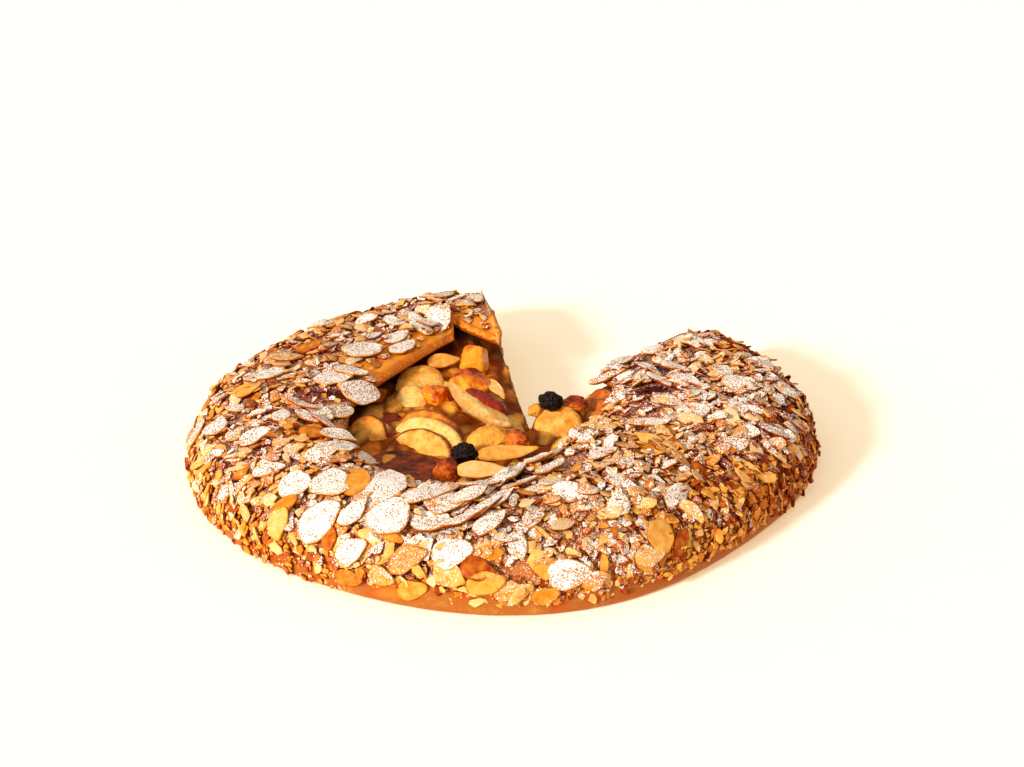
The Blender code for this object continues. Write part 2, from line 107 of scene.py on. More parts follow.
# The camera, and the photo's frame in pixels
CAMERA_DISTANCE = 1.1
CAMERA_ELEVATION = 27.0
FRAME_WIDTH = 1024
FRAME_MIDDLE = (512.0, 383.5)
FOCAL_PIXELS = 2589.4
GALETTE_PIXEL = (507.8, 458.9)
SENSOR = 36.0


def direction(angle):
    """Level direction at an angle in degrees, counted from +X to +Y."""
    return Vector((math.cos(math.radians(angle)), math.sin(math.radians(angle))))


def rim_radius(angle):
    """Radius of the uneven rim round the case's middle, at an angle in radians."""
    waves = sum(size * math.cos(count * angle - math.radians(turn)) for count, size, turn in RIM_WAVES)
    return RIM_RADIUS + waves


def reach_of_rim(angle):
    """Distance from the tip, where the two cut faces meet, to the rim."""
    ray = direction(angle)
    along = TIP.dot(ray)
    radius = RIM_RADIUS
    for _ in range(5):
        reach = -along + math.sqrt(along * along - TIP.length_squared + radius * radius)
        place = TIP + ray * reach
        radius = rim_radius(math.atan2(place.y, place.x))
    return reach


def reach_of_flap(angle):
    """Distance from the tip to the edge of the folded flap."""
    ray = direction(angle)
    reach = None
    for start, end in zip(FLAP_EDGE, FLAP_EDGE[1:]):
        a = Vector(start) - TIP
        b = Vector(end) - TIP
        side_a = ray.cross(a)
        side_b = ray.cross(b)
        if side_a * side_b > 0.0 or side_a == side_b:
            continue
        distance = a.lerp(b, side_a / (side_a - side_b)).dot(ray)
        if distance > 0.0 and (reach is None or distance > reach):
            reach = distance
    return reach


def pleat_step(angle, outward):
    """Height of the overlapping pleats, outward from 0 at the opening to 1 at the rim."""
    height = 0.0
    for at_opening, at_rim, step in PLEATS:
        turn = angle - (at_opening + (at_rim - at_opening) * outward)
        if turn >= 0.0:
            height -= PLEAT_VALLEY * step * math.exp(-turn / PLEAT_VALLEY_SPREAD)
        else:
            height += step * math.exp(turn / PLEAT_SPREAD)
    return height


def crust_paths(angle):
    """The case's section at this angle: its outer line and its inner line, tip to folded edge."""
    rim = reach_of_rim(angle)
    edge = reach_of_flap(angle)
    wall = rim - WALL_THICKNESS
    sag_middle, sag_spread, sag_depth = CRUST_SAG
    swell = CRUST_SWELL * math.sin(math.radians(5.0 * angle + 40.0))
    swell -= sag_depth * math.exp(-(((angle - sag_middle) / sag_spread) ** 2))
    top = CRUST_HEIGHT + swell
    outer = [(0.0, 0.0), (0.5 * rim, 0.0)]
    for inset, height, swelling, folding, outward in OUTER_SKIN:
        outer.append((rim - inset, height + swelling * swell + folding * pleat_step(angle, outward)))
    outer.append((0.5 * (outer[-1][0] + edge + 0.005), top + pleat_step(angle, 0.45)))
    fold = []
    for inset, depth, folding, outward in FOLDED_EDGE:
        fold.append((edge + inset, top - depth + folding * pleat_step(angle, outward)))
    outer += fold[:3]
    inner = [(0.0, SHEET_THICKNESS), (0.5 * rim, SHEET_THICKNESS)]
    inner += [(wall - inset, height) for inset, height in reversed(INNER_WALL)]
    inner += list(reversed(fold[2:]))
    return outer, inner


def smooth_path(points, steps):
    """A smooth curve through the points, with the given number of steps between each two."""
    points = np.array(points)
    ends = [2 * points[0] - points[1], *points, 2 * points[-1] - points[-2]]
    path = []
    for number, count in enumerate(steps):
        a, b, c, d = ends[number:number + 4]
        before = (c - a) * np.linalg.norm(c - b) / np.linalg.norm(c - a)
        after = (d - b) * np.linalg.norm(c - b) / np.linalg.norm(d - b)
        for t in np.arange(count) / count:
            square, cube = t ** 2, t ** 3
            start = (2 * cube - 3 * square + 1) * b + (cube - 2 * square + t) * before
            path.append(start + (3 * square - 2 * cube) * c + (cube - square) * after)
    path.append(points[-1])
    return np.array(path)


def places_in_plan(angles, paths, leans):
    """Points of the sections in space. Lean pushes the foot of a cut face into the gap."""
    rays = np.stack([np.cos(np.radians(angles)), np.sin(np.radians(angles))], axis=1)
    sides = np.stack([rays[:, 1], -rays[:, 0]], axis=1)
    reach = paths[..., 0]
    height = paths[..., 1]
    push = leans[:, None] * (0.5 - height / CRUST_HEIGHT) * np.minimum(1.0, reach / LEAN_RUN)
    plan = np.array(TIP) + rays[:, None] * reach[..., None] + sides[:, None] * push[..., None]
    return np.concatenate([plan, height[..., None]], axis=2) + np.array(MIDDLE_SHIFT)


# Row and column of a point on top of the skin, which tells the way out
TOP_POINT = (200, 40)


def outward_normals(grid):
    """Unit normals of a grid of points on the skin."""
    normals = np.cross(np.gradient(grid, axis=0), np.gradient(grid, axis=1))
    normals = normals / np.maximum(np.linalg.norm(normals, axis=2, keepdims=True), 1e-12)
    return normals if normals[TOP_POINT][2] > 0.0 else -normals


def lumps(points, size, seed):
    """Smooth noise from -1 to 1 at each point, with lumps of this size in metres."""
    shift = Vector((seed * 7.3, seed * 3.1, seed * 5.7))
    flat = np.asarray(points).reshape(-1, 3) / size
    values = [noise.noise(Vector(point) + shift) for point in flat]
    return np.array(values).reshape(np.asarray(points).shape[:-1])


class Piece:
    """Points, faces and paint weights of one piece, gathered before its mesh is made."""

    def __init__(self):
        self.points = []
        self.faces = []
        self.weights = {}
        self.count = 0

    def add(self, points, faces, **weights):
        points = np.asarray(points, float).reshape(-1, 3)
        self.faces += [[index + self.count for index in face] for face in faces]
        self.points.append(points)
        self.count += len(points)
        for name, value in weights.items():
            self.weights.setdefault(name, []).append(np.broadcast_to(value, (len(points),)))

    def finish(self, name, material, slot, replaces=(), smooth=True, merge=0.0, sharp=0.0):
        """The mesh with its weights and material, on the body and in place of the named nodes."""
        mesh = bpy.data.meshes.new(name)
        mesh.from_pydata(np.concatenate(self.points).tolist(), [], self.faces)
        for weight, values in self.weights.items():
            attribute = mesh.attributes.new(weight, "FLOAT", "POINT")
            attribute.data.foreach_set("value", np.concatenate(values).astype(np.float32))
        if merge:
            shape = bmesh.new()
            shape.from_mesh(mesh)
            bmesh.ops.remove_doubles(shape, verts=shape.verts, dist=merge)
            bmesh.ops.recalc_face_normals(shape, faces=shape.faces)
            shape.to_mesh(mesh)
            shape.free()
        mesh.materials.append(material)
        if smooth:
            mesh.shade_smooth()
        if sharp:
            mesh.set_sharp_from_angle(angle=math.radians(sharp))
        item = bpy.data.objects.new(name, mesh)
        bpy.context.scene.collection.objects.link(item)
        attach(item, "root")
        if replaces:
            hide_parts(*replaces)


def grid_faces(rows, columns):
    """Four-sided faces of a grid whose points are numbered along its rows."""
    faces = []
    for row in range(rows - 1):
        for column in range(columns - 1):
            corner = row * columns + column
            faces.append((corner, corner + 1, corner + columns + 1, corner + columns))
    return faces


def ringed_faces(rings, sides):
    """Faces of rings of points, from one middle point to another. Both middle points count as rings."""
    faces = [(0, 1 + side, 1 + (side + 1) % sides) for side in range(sides)]
    for ring in range(rings - 3):
        start = 1 + ring * sides
        for side in range(sides):
            after = (side + 1) % sides
            faces.append((start + side, start + sides + side, start + sides + after, start + after))
    last = 1 + (rings - 2) * sides
    start = last - sides
    faces += [(last, start + (side + 1) % sides, start + side) for side in range(sides)]
    return faces


def turned_over(faces):
    """The same faces seen from their other side."""
    return [(first, *reversed(rest)) for first, *rest in faces]


class Wire:
    """An output of a shader node that can be calculated with."""

    def __init__(self, tree, socket):
        self.tree = tree
        self.socket = socket

    def math(self, operation, *values):
        return self.tree.node("ShaderNodeMath", {"operation": operation}, dict(enumerate(values)))

    def __add__(self, other):
        return self.math("ADD", self, other)

    def __sub__(self, other):
        return self.math("SUBTRACT", self, other)

    def __rsub__(self, other):
        return self.math("SUBTRACT", other, self)

    def __mul__(self, other):
        return self.math("MULTIPLY", self, other)

    def smaller(self, other):
        return self.math("MINIMUM", self, other)

    __radd__ = __add__
    __rmul__ = __mul__


class NodeTree:
    """The nodes in front of one shader. Constants and links go to the shader's sockets by name."""

    def __init__(self, tree, shader):
        self.tree = tree
        self.shader = tree.nodes[shader]

    def node(self, kind, settings, sockets, output=0):
        """A new node with its settings, then the values or wires of its sockets. Gives one output."""
        made = self.tree.nodes.new(kind)
        for name, value in settings.items():
            if name == "stops":
                self.set_stops(made.color_ramp, value)
            else:
                setattr(made, name, value)
        for name, value in sockets.items():
            if isinstance(value, Wire):
                self.tree.links.new(value.socket, made.inputs[name])
            else:
                made.inputs[name].default_value = value
        return Wire(self, made.outputs[output])

    def set_stops(self, ramp, stops):
        while len(ramp.elements) < len(stops):
            ramp.elements.new(1.0)
        for element, (place, colour) in zip(ramp.elements, stops):
            element.position = place
            element.color = (*colour, 1.0)

    def set_constants(self, **constants):
        for socket, value in constants.items():
            self.shader.inputs[socket.replace("_", " ")].default_value = value

    def connect(self, **wires):
        for socket, wire in wires.items():
            self.tree.links.new(wire.socket, self.shader.inputs[socket.replace("_", " ")])


class Paint(NodeTree):
    """A material with one Principled shader. Constants are set on the shader's own sockets."""

    def __init__(self, name, **constants):
        self.material = bpy.data.materials.new(name)
        self.material.use_nodes = True
        super().__init__(self.material.node_tree, "Principled BSDF")
        self.set_constants(**constants)

    def place(self):
        """Place on the piece, in metres."""
        return self.node("ShaderNodeTexCoord", {}, {}, "Object")

    def up(self):
        """How far the surface faces up, from -1 to 1."""
        normal = self.node("ShaderNodeNewGeometry", {}, {}, "Normal")
        return self.node("ShaderNodeSeparateXYZ", {}, {0: normal}, "Z")

    def weight(self, name):
        """One of the piece's own paint weights."""
        return self.node("ShaderNodeAttribute", {"attribute_name": name}, {}, "Fac")

    def noise(self, size, detail=2.0, roughness=0.5, place=None):
        """Noise from 0 to 1 with lumps of about this size in metres."""
        place = place or self.place()
        sockets = {"Vector": place, "Scale": 1.0 / size, "Detail": detail, "Roughness": roughness}
        return self.node("ShaderNodeTexNoise", {}, sockets, "Fac")

    def stretched(self, x, y, z):
        """Place with each axis stretched by a factor."""
        sockets = {0: self.place(), 1: (x, y, z)}
        return self.node("ShaderNodeVectorMath", {"operation": "MULTIPLY"}, sockets)

    def rise(self, value, low, high):
        """0 below low, 1 above high, smooth between."""
        sockets = {"Value": value, "From Min": low, "From Max": high}
        return self.node("ShaderNodeMapRange", {"interpolation_type": "SMOOTHSTEP"}, sockets)

    def mix(self, factor, first, second):
        """One colour into the other. Sockets 6, 7 and 2 are the node's colours, behind its numbers."""
        first = first if isinstance(first, Wire) else (*first, 1.0)
        second = second if isinstance(second, Wire) else (*second, 1.0)
        settings = {"data_type": "RGBA", "clamp_factor": True}
        return self.node("ShaderNodeMix", settings, {0: factor, 6: first, 7: second}, 2)

    def ramp(self, value, *stops):
        """Colour at a value, between stops that are each a value and a colour."""
        return self.node("ShaderNodeValToRGB", {"stops": stops}, {"Fac": value}, "Color")

    def bump(self, height, depth):
        """Fine relief, as deep in metres where the height is 1."""
        sockets = {"Height": height, "Distance": depth, "Strength": 1.0}
        return self.node("ShaderNodeBump", {}, sockets)

    def finish(self, **wires):
        """Link what varies over the surface, and give the material."""
        self.connect(**wires)
        return self.material


# Steps along the outer line and the inner line of the case. Both lines have as many in all.
OUTER_STEPS = (8, 8, 2, 3, 4, 5, 5, 8, 9, 11, 16, 5, 4)
INNER_STEPS = (8, 8, 5, 6, 8, 10, 34, 5, 4)
FOOT_STEP = 16
CUT_LAYERS = 9
SECTION_COUNT = 380
# The skin stays this far inside the solid's to leave room for the almonds, but not where the fold ends
ALMOND_ROOM = 0.0013
FOLD_END = 0.05
# Relief of the skin, coarse to fine: height and size of its lumps
SKIN_LUMPS = ((0.0007, 0.024), (0.00035, 0.0075), (0.00014, 0.0024))
# The relief starts above the lip at the foot, and is full this much higher
LIP_TOP = 0.0045
LIP_FADE = 0.004
# The groove over the lip: height, half width and depth
LIP_GROOVE = (0.0052, 0.0011, 0.0007)
# Low lumps on skin and lip alike: height and size
LOW_LUMPS = (0.00012, 0.006)
# Creases beside a pleat: share of its step, and spread and spacing in degrees. Then how wide the painted
# shade in the pleat's own crease is, and how far beside its edge
WRINKLE_SHARE = 0.175
WRINKLE_SPREAD = 7.0
WRINKLE_SPACING = 4.3
CREASE_WIDTH = 1.3
CREASE_OFFSET = 0.8
# Half the turn that is kept clear at the step between the two back flaps, and that of the pair beside it
STEP_CLEAR = 0.6
STEP_PAIR = 0.3


def section_angles():
    """Even turns, with a pair either side of the step between the two back flaps."""
    angles = np.linspace(LEFT_CUT, RIGHT_CUT, SECTION_COUNT).tolist()
    corner = math.degrees(math.atan2(FLAP_EDGE[3][1] - TIP.y, FLAP_EDGE[3][0] - TIP.x))
    back = math.degrees(math.atan2(FLAP_EDGE[2][1] - TIP.y, FLAP_EDGE[2][0] - TIP.x))
    angles = [angle for angle in angles if not back - STEP_CLEAR < angle < corner + STEP_CLEAR]
    return np.array(sorted(angles + [back - STEP_PAIR, corner + STEP_PAIR]))


def fold_wrinkles(angles, outward):
    """Creases beside each pleat: their height, and how deep in a crease a point lies, 0 to 1, for painted
    shade.
    """
    height = np.zeros(outward.shape)
    depth = np.zeros(outward.shape)
    for at_opening, at_rim, step in PLEATS:
        turn = angles[:, None] - (at_opening + (at_rim - at_opening) * outward)
        fading = np.exp(-np.abs(turn) / WRINKLE_SPREAD)
        height += WRINKLE_SHARE * step * fading * np.cos(turn * math.tau / WRINKLE_SPACING)
        depth += np.exp(-((turn - CREASE_OFFSET) / CREASE_WIDTH) ** 2)
    return height, np.minimum(depth, 1.0)


class Skin:
    """The case's outer skin with its relief, as a grid of points and the way out of it."""

    def __init__(self):
        self.angles = section_angles()
        sections = [crust_paths(angle) for angle in self.angles]
        leans = np.zeros(len(self.angles))
        leans[0] = LEFT_CUT_LEAN
        leans[-1] = -RIGHT_CUT_LEAN
        outer = np.array([smooth_path(outer, OUTER_STEPS) for outer, _ in sections])
        inner = np.array([smooth_path(inner, INNER_STEPS) for _, inner in sections])
        self.outer = places_in_plan(self.angles, outer, leans)
        self.inner = places_in_plan(self.angles, inner, leans)
        self.add_relief(outer)
        self.inner[:, -1] = self.outer[:, -1]
        self.outer[..., 2] = np.maximum(self.outer[..., 2], 0.0)
        self.points = self.outer[:, FOOT_STEP:]
        self.pixels = photo_pixels(self.points)
        self.spots = [self.spot(*place[:-1]) for place in BARE_SPOTS]
        self.golden = np.max([self.spot(*place[:-1]) * place[-1] for place in GOLDEN_SPOTS], axis=0)
        self.normals = outward_normals(self.points)

    def add_relief(self, outer):
        """Soft lumps, creases by the pleats, and the groove over the lip at the foot."""
        skin = self.outer[:, FOOT_STEP:]
        normals = outward_normals(skin)
        height = outer[:, FOOT_STEP:, 1]
        steps = skin.shape[1]
        outward = np.broadcast_to(1.0 - np.arange(steps) / (steps - 1), height.shape)
        wrinkles, self.crease = fold_wrinkles(self.angles, outward)
        above_lip = np.clip((height - LIP_TOP) / LIP_FADE, 0.0, 1.0)
        (coarse, coarse_size), (middle, middle_size), (fine, fine_size) = SKIN_LUMPS
        self.lump = lumps(skin, middle_size, 1)
        relief = coarse * lumps(skin, coarse_size, 2) + middle * self.lump
        relief = relief + fine * lumps(skin, fine_size, 3)
        relief = relief + wrinkles - ALMOND_ROOM * np.clip(outward / FOLD_END, 0.0, 1.0)
        groove_height, groove_width, groove_depth = LIP_GROOVE
        groove = -groove_depth * np.exp(-((height - groove_height) / groove_width) ** 2)
        relief = relief * above_lip + groove + LOW_LUMPS[0] * lumps(skin, LOW_LUMPS[1], 4)
        relief[:, 0] = 0.0
        skin += normals * relief[..., None]
        skin[..., 2] = np.maximum(skin[..., 2], 0.0)

    def spot(self, across, down, wide, high):
        """1 in the middle of a spot of the photo, 0 outside it."""
        away = (self.pixels - np.array([across, down])) / np.array([wide, high])
        return np.clip(1.5 * (1.0 - (away ** 2).sum(axis=2)), 0.0, 1.0)

    def at(self, row, column):
        """Points and outward directions at fractional places of the grid."""
        rows, columns = self.points.shape[:2]
        row = np.clip(row, 0.0, rows - 1.001)
        column = np.clip(column, 0.0, columns - 1.001)
        r, c = row.astype(int), column.astype(int)
        u, v = (row - r)[..., None], (column - c)[..., None]
        found = []
        for grid in (self.points, self.normals):
            low = grid[r, c] * (1 - v) + grid[r, c + 1] * v
            high = grid[r + 1, c] * (1 - v) + grid[r + 1, c + 1] * v
            found.append(low * (1 - u) + high * u)
        return found

    def under_pixel(self, place):
        """Grid place of the skin that shows at this pixel of the photo."""
        away = np.linalg.norm(self.pixels - np.array(place), axis=2)
        facing = ((np.array(camera_place()) - self.points) * self.normals).sum(axis=2)
        away[facing < 0.0] = np.inf
        return np.unravel_index(np.argmin(away), away.shape)


def camera_place():
    """Where the camera stands, in front of the galette and above it."""
    rise = math.radians(CAMERA_ELEVATION)
    return Vector((0.0, -math.cos(rise), math.sin(rise))) * CAMERA_DISTANCE + MIDDLE_SHIFT


def camera_axes():
    """Right, up and forward of a camera that sees the galette's middle at its pixel."""
    rise = math.radians(CAMERA_ELEVATION)
    rise += math.atan2(FRAME_MIDDLE[1] - GALETTE_PIXEL[1], FOCAL_PIXELS)
    swing = -math.atan2(GALETTE_PIXEL[0] - FRAME_MIDDLE[0], FOCAL_PIXELS)
    forward = Vector((math.sin(swing) * math.cos(rise), math.cos(swing) * math.cos(rise), -math.sin(rise)))
    right = forward.cross(Vector((0.0, 0.0, 1.0))).normalized()
    return right, right.cross(forward), forward


def photo_pixels(points):
    """Where the camera sees points, in the photo's pixels."""
    right, up, forward = camera_axes()
    away = np.asarray(points) - np.array(camera_place())
    depth = away @ np.array(forward)
    across = FRAME_MIDDLE[0] + FOCAL_PIXELS * (away @ np.array(right)) / depth
    down = FRAME_MIDDLE[1] - FOCAL_PIXELS * (away @ np.array(up)) / depth
    return np.stack([across, down], axis=-1)


def between(outer, inner, layers):
    """Points in layers between two lines, and the direction across the plane that they lie in."""
    share = (np.arange(1, layers) / layers)[None, :, None]
    face = outer[:, None] * (1 - share) + inner[:, None] * share
    across = np.cross(face[-1, 0] - face[0, 0], [0.0, 0.0, 1.0])
    return face, across / np.linalg.norm(across)


def pastry_layers(face):
    """Torn, layered pastry on a cut face, in metres off its plane."""
    low = lumps(face * np.array([1.0, 1.0, 3.0]), 0.006, 11)
    return 0.0006 * low + 0.0003 * lumps(face, 0.0018, 12)


def add_cut(piece, outer, inner, weights):
    """The pastry's cut face as a grid that meets its two lines at its edges, with relief between them."""
    inside, across = between(outer, inner, CUT_LAYERS)
    inside = inside + pastry_layers(inside)[..., None] * across
    face = np.concatenate([outer[:, None], inside, inner[:, None]], axis=1)
    rows, columns = face.shape[:2]
    depth = np.minimum(np.arange(columns), columns - 1 - np.arange(columns)) / CUT_LAYERS
    piece.add(face, grid_faces(rows, columns), depth=np.tile(depth, rows), **weights)


# Painted light on the bare strip, painted shade at the fold: shares up the first flap, and the weight there
STRIP_LIGHT_AND_SHADE = ((0.84, 0.89, 0.95, 0.985), (0.0, 0.5, 0.5, 1.0))
# Icing sugar lies on the pastry above this height, and is full this much higher
DUSTING_START = 0.012
DUSTING_RISE = 0.014
# Points nearer than this become one
MERGE_DISTANCE = 0.00002


def build_crust(skin, pile):
    """The case without its almonds: skin, inside, and the two cut faces. Painted shade where almonds lie on
    it.
    """
    piece = Piece()
    rows, columns = skin.outer.shape[:2]
    share = np.linspace(0.0, 1.0, columns - FOOT_STEP)
    # Painted shade in the creases, and at the dark bare spots
    crease = np.zeros((rows, columns))
    crease[:, FOOT_STEP:] = skin.crease * np.clip((share - 0.13) / 0.10, 0.0, 1.0)
    lump = np.zeros((rows, columns))
    lump[:, FOOT_STEP:] = skin.lump
    # Painted shade under the almonds and beside them
    cover = np.zeros((rows, columns))
    cover[:, FOOT_STEP:] = pile.near_almonds()
    back = skin.angles < FIRST_FLAP[1]
    # Painted light on the bare strip of the first flap, 0.5, and painted shade on the fold's front face, 1
    bright = np.zeros((rows, columns))
    bright[:, FOOT_STEP:] = np.interp(share, *STRIP_LIGHT_AND_SHADE) * back[:, None]
    plain = (bright > 0.0) | (skin.outer[..., 2] < DUSTING_START)
    # The bare spots: painted shade where dark, a faint painted highlight where not
    for spot, place in zip(skin.spots, BARE_SPOTS):
        crease[:, FOOT_STEP:] = np.maximum(crease[:, FOOT_STEP:], spot * place[-1])
        bright[:, FOOT_STEP:] = np.maximum(bright[:, FOOT_STEP:], 0.14 * spot * (1.0 - place[-1]))
    above = (skin.outer[..., 2] - DUSTING_START) / DUSTING_RISE
    dusting = np.where(plain, 0.0, np.clip(above, 0.0, 1.0) * (1.0 - crease))
    weights = {"crease": crease, "lump": lump, "cover": cover, "bright": bright, "dusting": dusting}
    weights = {name: values.ravel() for name, values in weights.items()}
    piece.add(skin.outer, grid_faces(rows, columns), cut=0.0, depth=0.0, **weights)
    blank = dict.fromkeys(weights, 0.0)
    inside = [tuple(reversed(face)) for face in grid_faces(rows, columns)]
    # The inside gets half of that painted shade
    piece.add(skin.inner, inside, depth=0.0, **{**blank, "cover": 0.5, "cut": 0.4})
    for number in (0, -1):
        add_cut(piece, skin.outer[number], skin.inner[number], {**blank, "cut": 1.0})
    piece.finish("crust", pastry_paint(), "baked_crust", ["pastry_crust"], merge=MERGE_DISTANCE)


# Steps along the top line and the bottom line of the filling, and across its cut faces
FILLING_TOP_STEPS = (30, 12, 12, 12, 12, 24, 6, 6)
FILLING_BASE_STEPS = (96, 9, 9)
FILLING_LAYERS = 18
FILLING_SECTIONS = 300
# The step along the top line where the folded flap begins to shade it
UNDER_FLAP = 70
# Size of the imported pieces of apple, on top and at the cuts
TOP_CHUNK = (0.0090, 0.0190, 0.0080)
CUT_CHUNK = (0.0120, 0.0036, 1.0)


def filling_top(place):
    """Height of the filling's top, with its hollows, at a place in plan."""
    height = FILLING_TOP
    height += FILLING_BUMP * math.sin(310.0 * place.x + 1.0) * math.sin(260.0 * place.y + 2.0)
    for middle, radius, depth in FILLING_HOLLOWS:
        away = (place - middle).length / radius
        height -= depth * math.exp(-away * away)
    return height


def filling_paths(angle):
    """The filling's section at this angle: its top line and its bottom line, tip to wall."""
    wall = reach_of_rim(angle) - WALL_THICKNESS
    edge = reach_of_flap(angle)
    top = [(0.0, FILLING_TOP)]
    for share in (0.2, 0.4, 0.6, 0.8, 1.0):
        top.append((share * edge, filling_top(TIP + direction(angle) * share * edge)))
    top += [(wall - inset, height) for inset, height in FILLING_SHOULDER]
    bottom = [(0.0, FILLING_BASE)]
    bottom += [(wall - inset, height) for inset, height in FILLING_FOOT]
    return top, bottom


def apple_chunks(points, size, seed):
    """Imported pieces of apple: how far inside its piece each point is, 0 to 1, and the piece's tone."""
    inside = []
    tone = []
    for point in np.asarray(points).reshape(-1, 3) / np.array(size) + seed * 5.3:
        distances, centres = noise.voronoi(Vector(point))
        inside.append(min(1.0, (distances[1] - distances[0]) * 1.6))
        tone.append(0.5 + 0.5 * math.sin(91.7 * centres[0].x + 47.3 * centres[0].y + 31.1 * centres[0].z))
    shape = np.asarray(points).shape[:-1]
    return np.array(inside).reshape(shape), np.array(tone).reshape(shape)


def add_filling_cut(piece, base, top, seed, flip):
    """A cut face of the filling: apple slices that lie flat, so their cut ends are long and low."""
    face, across = between(base, top, FILLING_LAYERS)
    across = flip * across
    whole = np.concatenate([base[:, None], face, top[:, None]], axis=1)
    along = (whole - whole[0, 0]) @ (np.array([-across[1], across[0], 0.0]))
    flat = np.stack([along, whole[..., 2] + 0.0012 * lumps(whole, 0.016, 22), 0.0 * along], axis=-1)
    inside, tone = apple_chunks(flat, CUT_CHUNK, seed)
    relief = 0.0011 * (inside ** 0.6 - 0.6) + 0.0008 * (tone - 0.5) + 0.0002 * lumps(whole, 0.0016, 23)
    relief[[0, -1]] = 0.0
    relief[:, [0, -1]] = 0.0
    whole = whole + relief[..., None] * across
    faces = grid_faces(*whole.shape[:2])
    piece.add(whole, faces, gap=1.0 - inside.ravel(), tone=tone.ravel(), cut=1.0, under=0.0)


def build_filling():
    """Layered cooked apple between the two cut faces, with an uneven top in the opening."""
    angles = np.linspace(LEFT_CUT - FILLING_BULGE, RIGHT_CUT + FILLING_BULGE, FILLING_SECTIONS)
    sections = [filling_paths(angle) for angle in angles]
    leans = np.zeros(len(angles))
    leans[0] = LEFT_CUT_LEAN
    leans[-1] = -RIGHT_CUT_LEAN
    top = np.array([smooth_path(top, FILLING_TOP_STEPS) for top, _ in sections])
    top = places_in_plan(angles, top, leans)
    base = np.array([smooth_path(bottom, FILLING_BASE_STEPS) for _, bottom in sections])
    base = places_in_plan(angles, base, leans)
    base[:, -1] = top[:, -1]
    rows, columns = top.shape[:2]
    inside, tone = apple_chunks(top, TOP_CHUNK, 1)
    near_wall = np.clip((np.arange(columns)[::-1] - 4) / 20.0, 0.0, 1.0)
    rise = 0.0020 * (inside - 0.6) + 0.0022 * (tone - 0.5) * inside + 0.0006 * lumps(top, 0.003, 21)
    top[..., 2] += rise * near_wall * (np.arange(columns) > 0)
    # Weight for the painted shade under the folded flap
    under = np.broadcast_to(np.clip((np.arange(columns) - UNDER_FLAP) / 10.0, 0.0, 1.0), (rows, columns))
    piece = Piece()
    faces = grid_faces(rows, columns)
    piece.add(top, faces, gap=1.0 - inside.ravel(), tone=tone.ravel(), cut=0.0, under=under.ravel())
    piece.add(base, [tuple(reversed(face)) for face in faces], gap=0.0, tone=0.5, cut=0.0, under=0.0)
    add_filling_cut(piece, base[0], top[0], 3, -1.0)
    add_filling_cut(piece, base[-1], top[-1], 2, 1.0)
    piece.finish("filling", filling_paint(), "cooked_apple", ["apple_filling"], merge=MERGE_DISTANCE)


# Unevenness of a flake's outline: waves round it and their size, and its pointed end's size and spread
FLAKE_WAVES = ((2, 0.06), (3, 0.06), (5, 0.035), (7, 0.03))
FLAKE_POINT = (0.16, 0.45)


def flake_outline(turn, draw, cuts):
    """Radius of a flaked almond at each turn: an oval with one pointed end, broken straight where cut."""
    radius = np.ones(len(turn))
    for count, size in FLAKE_WAVES:
        radius += size * draw.uniform(0.3, 1.0) * np.cos(count * turn + draw.uniform(0.0, math.tau))
    point, spread = FLAKE_POINT
    radius += point * np.exp(-(((turn + math.pi) % math.tau - math.pi) / spread) ** 2)
    for _ in range(cuts):
        facing = draw.uniform(0.0, math.tau)
        chord = draw.uniform(0.05, 0.6)
        toward = np.cos(turn - facing)
        radius = np.where(toward > 0.02, np.minimum(radius, chord / np.maximum(toward, 0.02)), radius)
    return radius


class Flake:
    """A thin almond slice in its own plane: points, faces, and how near its rim each point is."""

    def __init__(self, length, width, thickness, draw, sides, cuts=0, fine=False):
        if sides == BIT_SIDES:
            rings = (0.0, 0.88)
            places = [side + draw.uniform(-0.35, 0.35) for side in range(sides)]
            turn = np.array([place * math.tau / sides for place in places])
            outline = np.array([draw.uniform(0.70, 1.12) for _ in range(sides)])
        else:
            rings = (0.0, 0.35, 0.68, 0.88, 0.96) if fine else (0.0, 0.6, 0.93)
            turn = np.arange(sides) * math.tau / sides
            outline = flake_outline(turn, draw, cuts)
        bend = draw.uniform(-0.10, 0.14) / length
        cross_bend = draw.uniform(-0.06, 0.10) / width
        twist = draw.uniform(-0.10, 0.10) / length
        levels = [(share, 0.5) for share in rings]
        levels += [(1.0, 0.25), (0.99, -0.45), (0.0, -0.5)]
        points = []
        rims = []
        for share, side in levels:
            radius = outline * share if share else np.zeros(1)
            turns = turn if share else np.zeros(1)
            x = radius * np.cos(turns) * 0.5 * length
            y = radius * np.sin(turns) * 0.5 * width * (1.0 - 0.16 * np.cos(turns))
            z = side * thickness + bend * x * x + cross_bend * y * y + twist * x * y
            if fine and 0.3 < share < 0.97:
                z = z + thickness * 0.22 * np.cos(3.0 * turns + 9.0 * share + length * 4e3) * share
            points.append(np.stack([x, y, z], axis=1))
            rims.append(np.full(len(x), share if side > 0 else 1.2))
        self.points = np.concatenate(points)
        self.rims = np.concatenate(rims)
        self.thickness = thickness
        self.faces = ringed_faces(len(levels), sides)


def settled(points):
    """Almonds on the highest folds lie flatter, so that nothing stands far over the case."""
    over = np.maximum(points[..., 2] - HIGHEST_CRUST, 0.0)
    points[..., 2] += HIGHEST_ALMOND * (1.0 - np.exp(-over / HIGHEST_ALMOND)) - over
    points[..., 2] = np.maximum(points[..., 2], 0.0)
    return points


# A flake rests on the highest almonds under it, apart from the few above this per cent, and no steeper
RESTING_PERCENT = 88
STEEPEST_REST = 0.30
# Rings on a flake, as shares of its outline, under which the cells count as covered
COVER_SHARES = (0.1, 0.3, 0.5, 0.7, 0.85, 0.98)


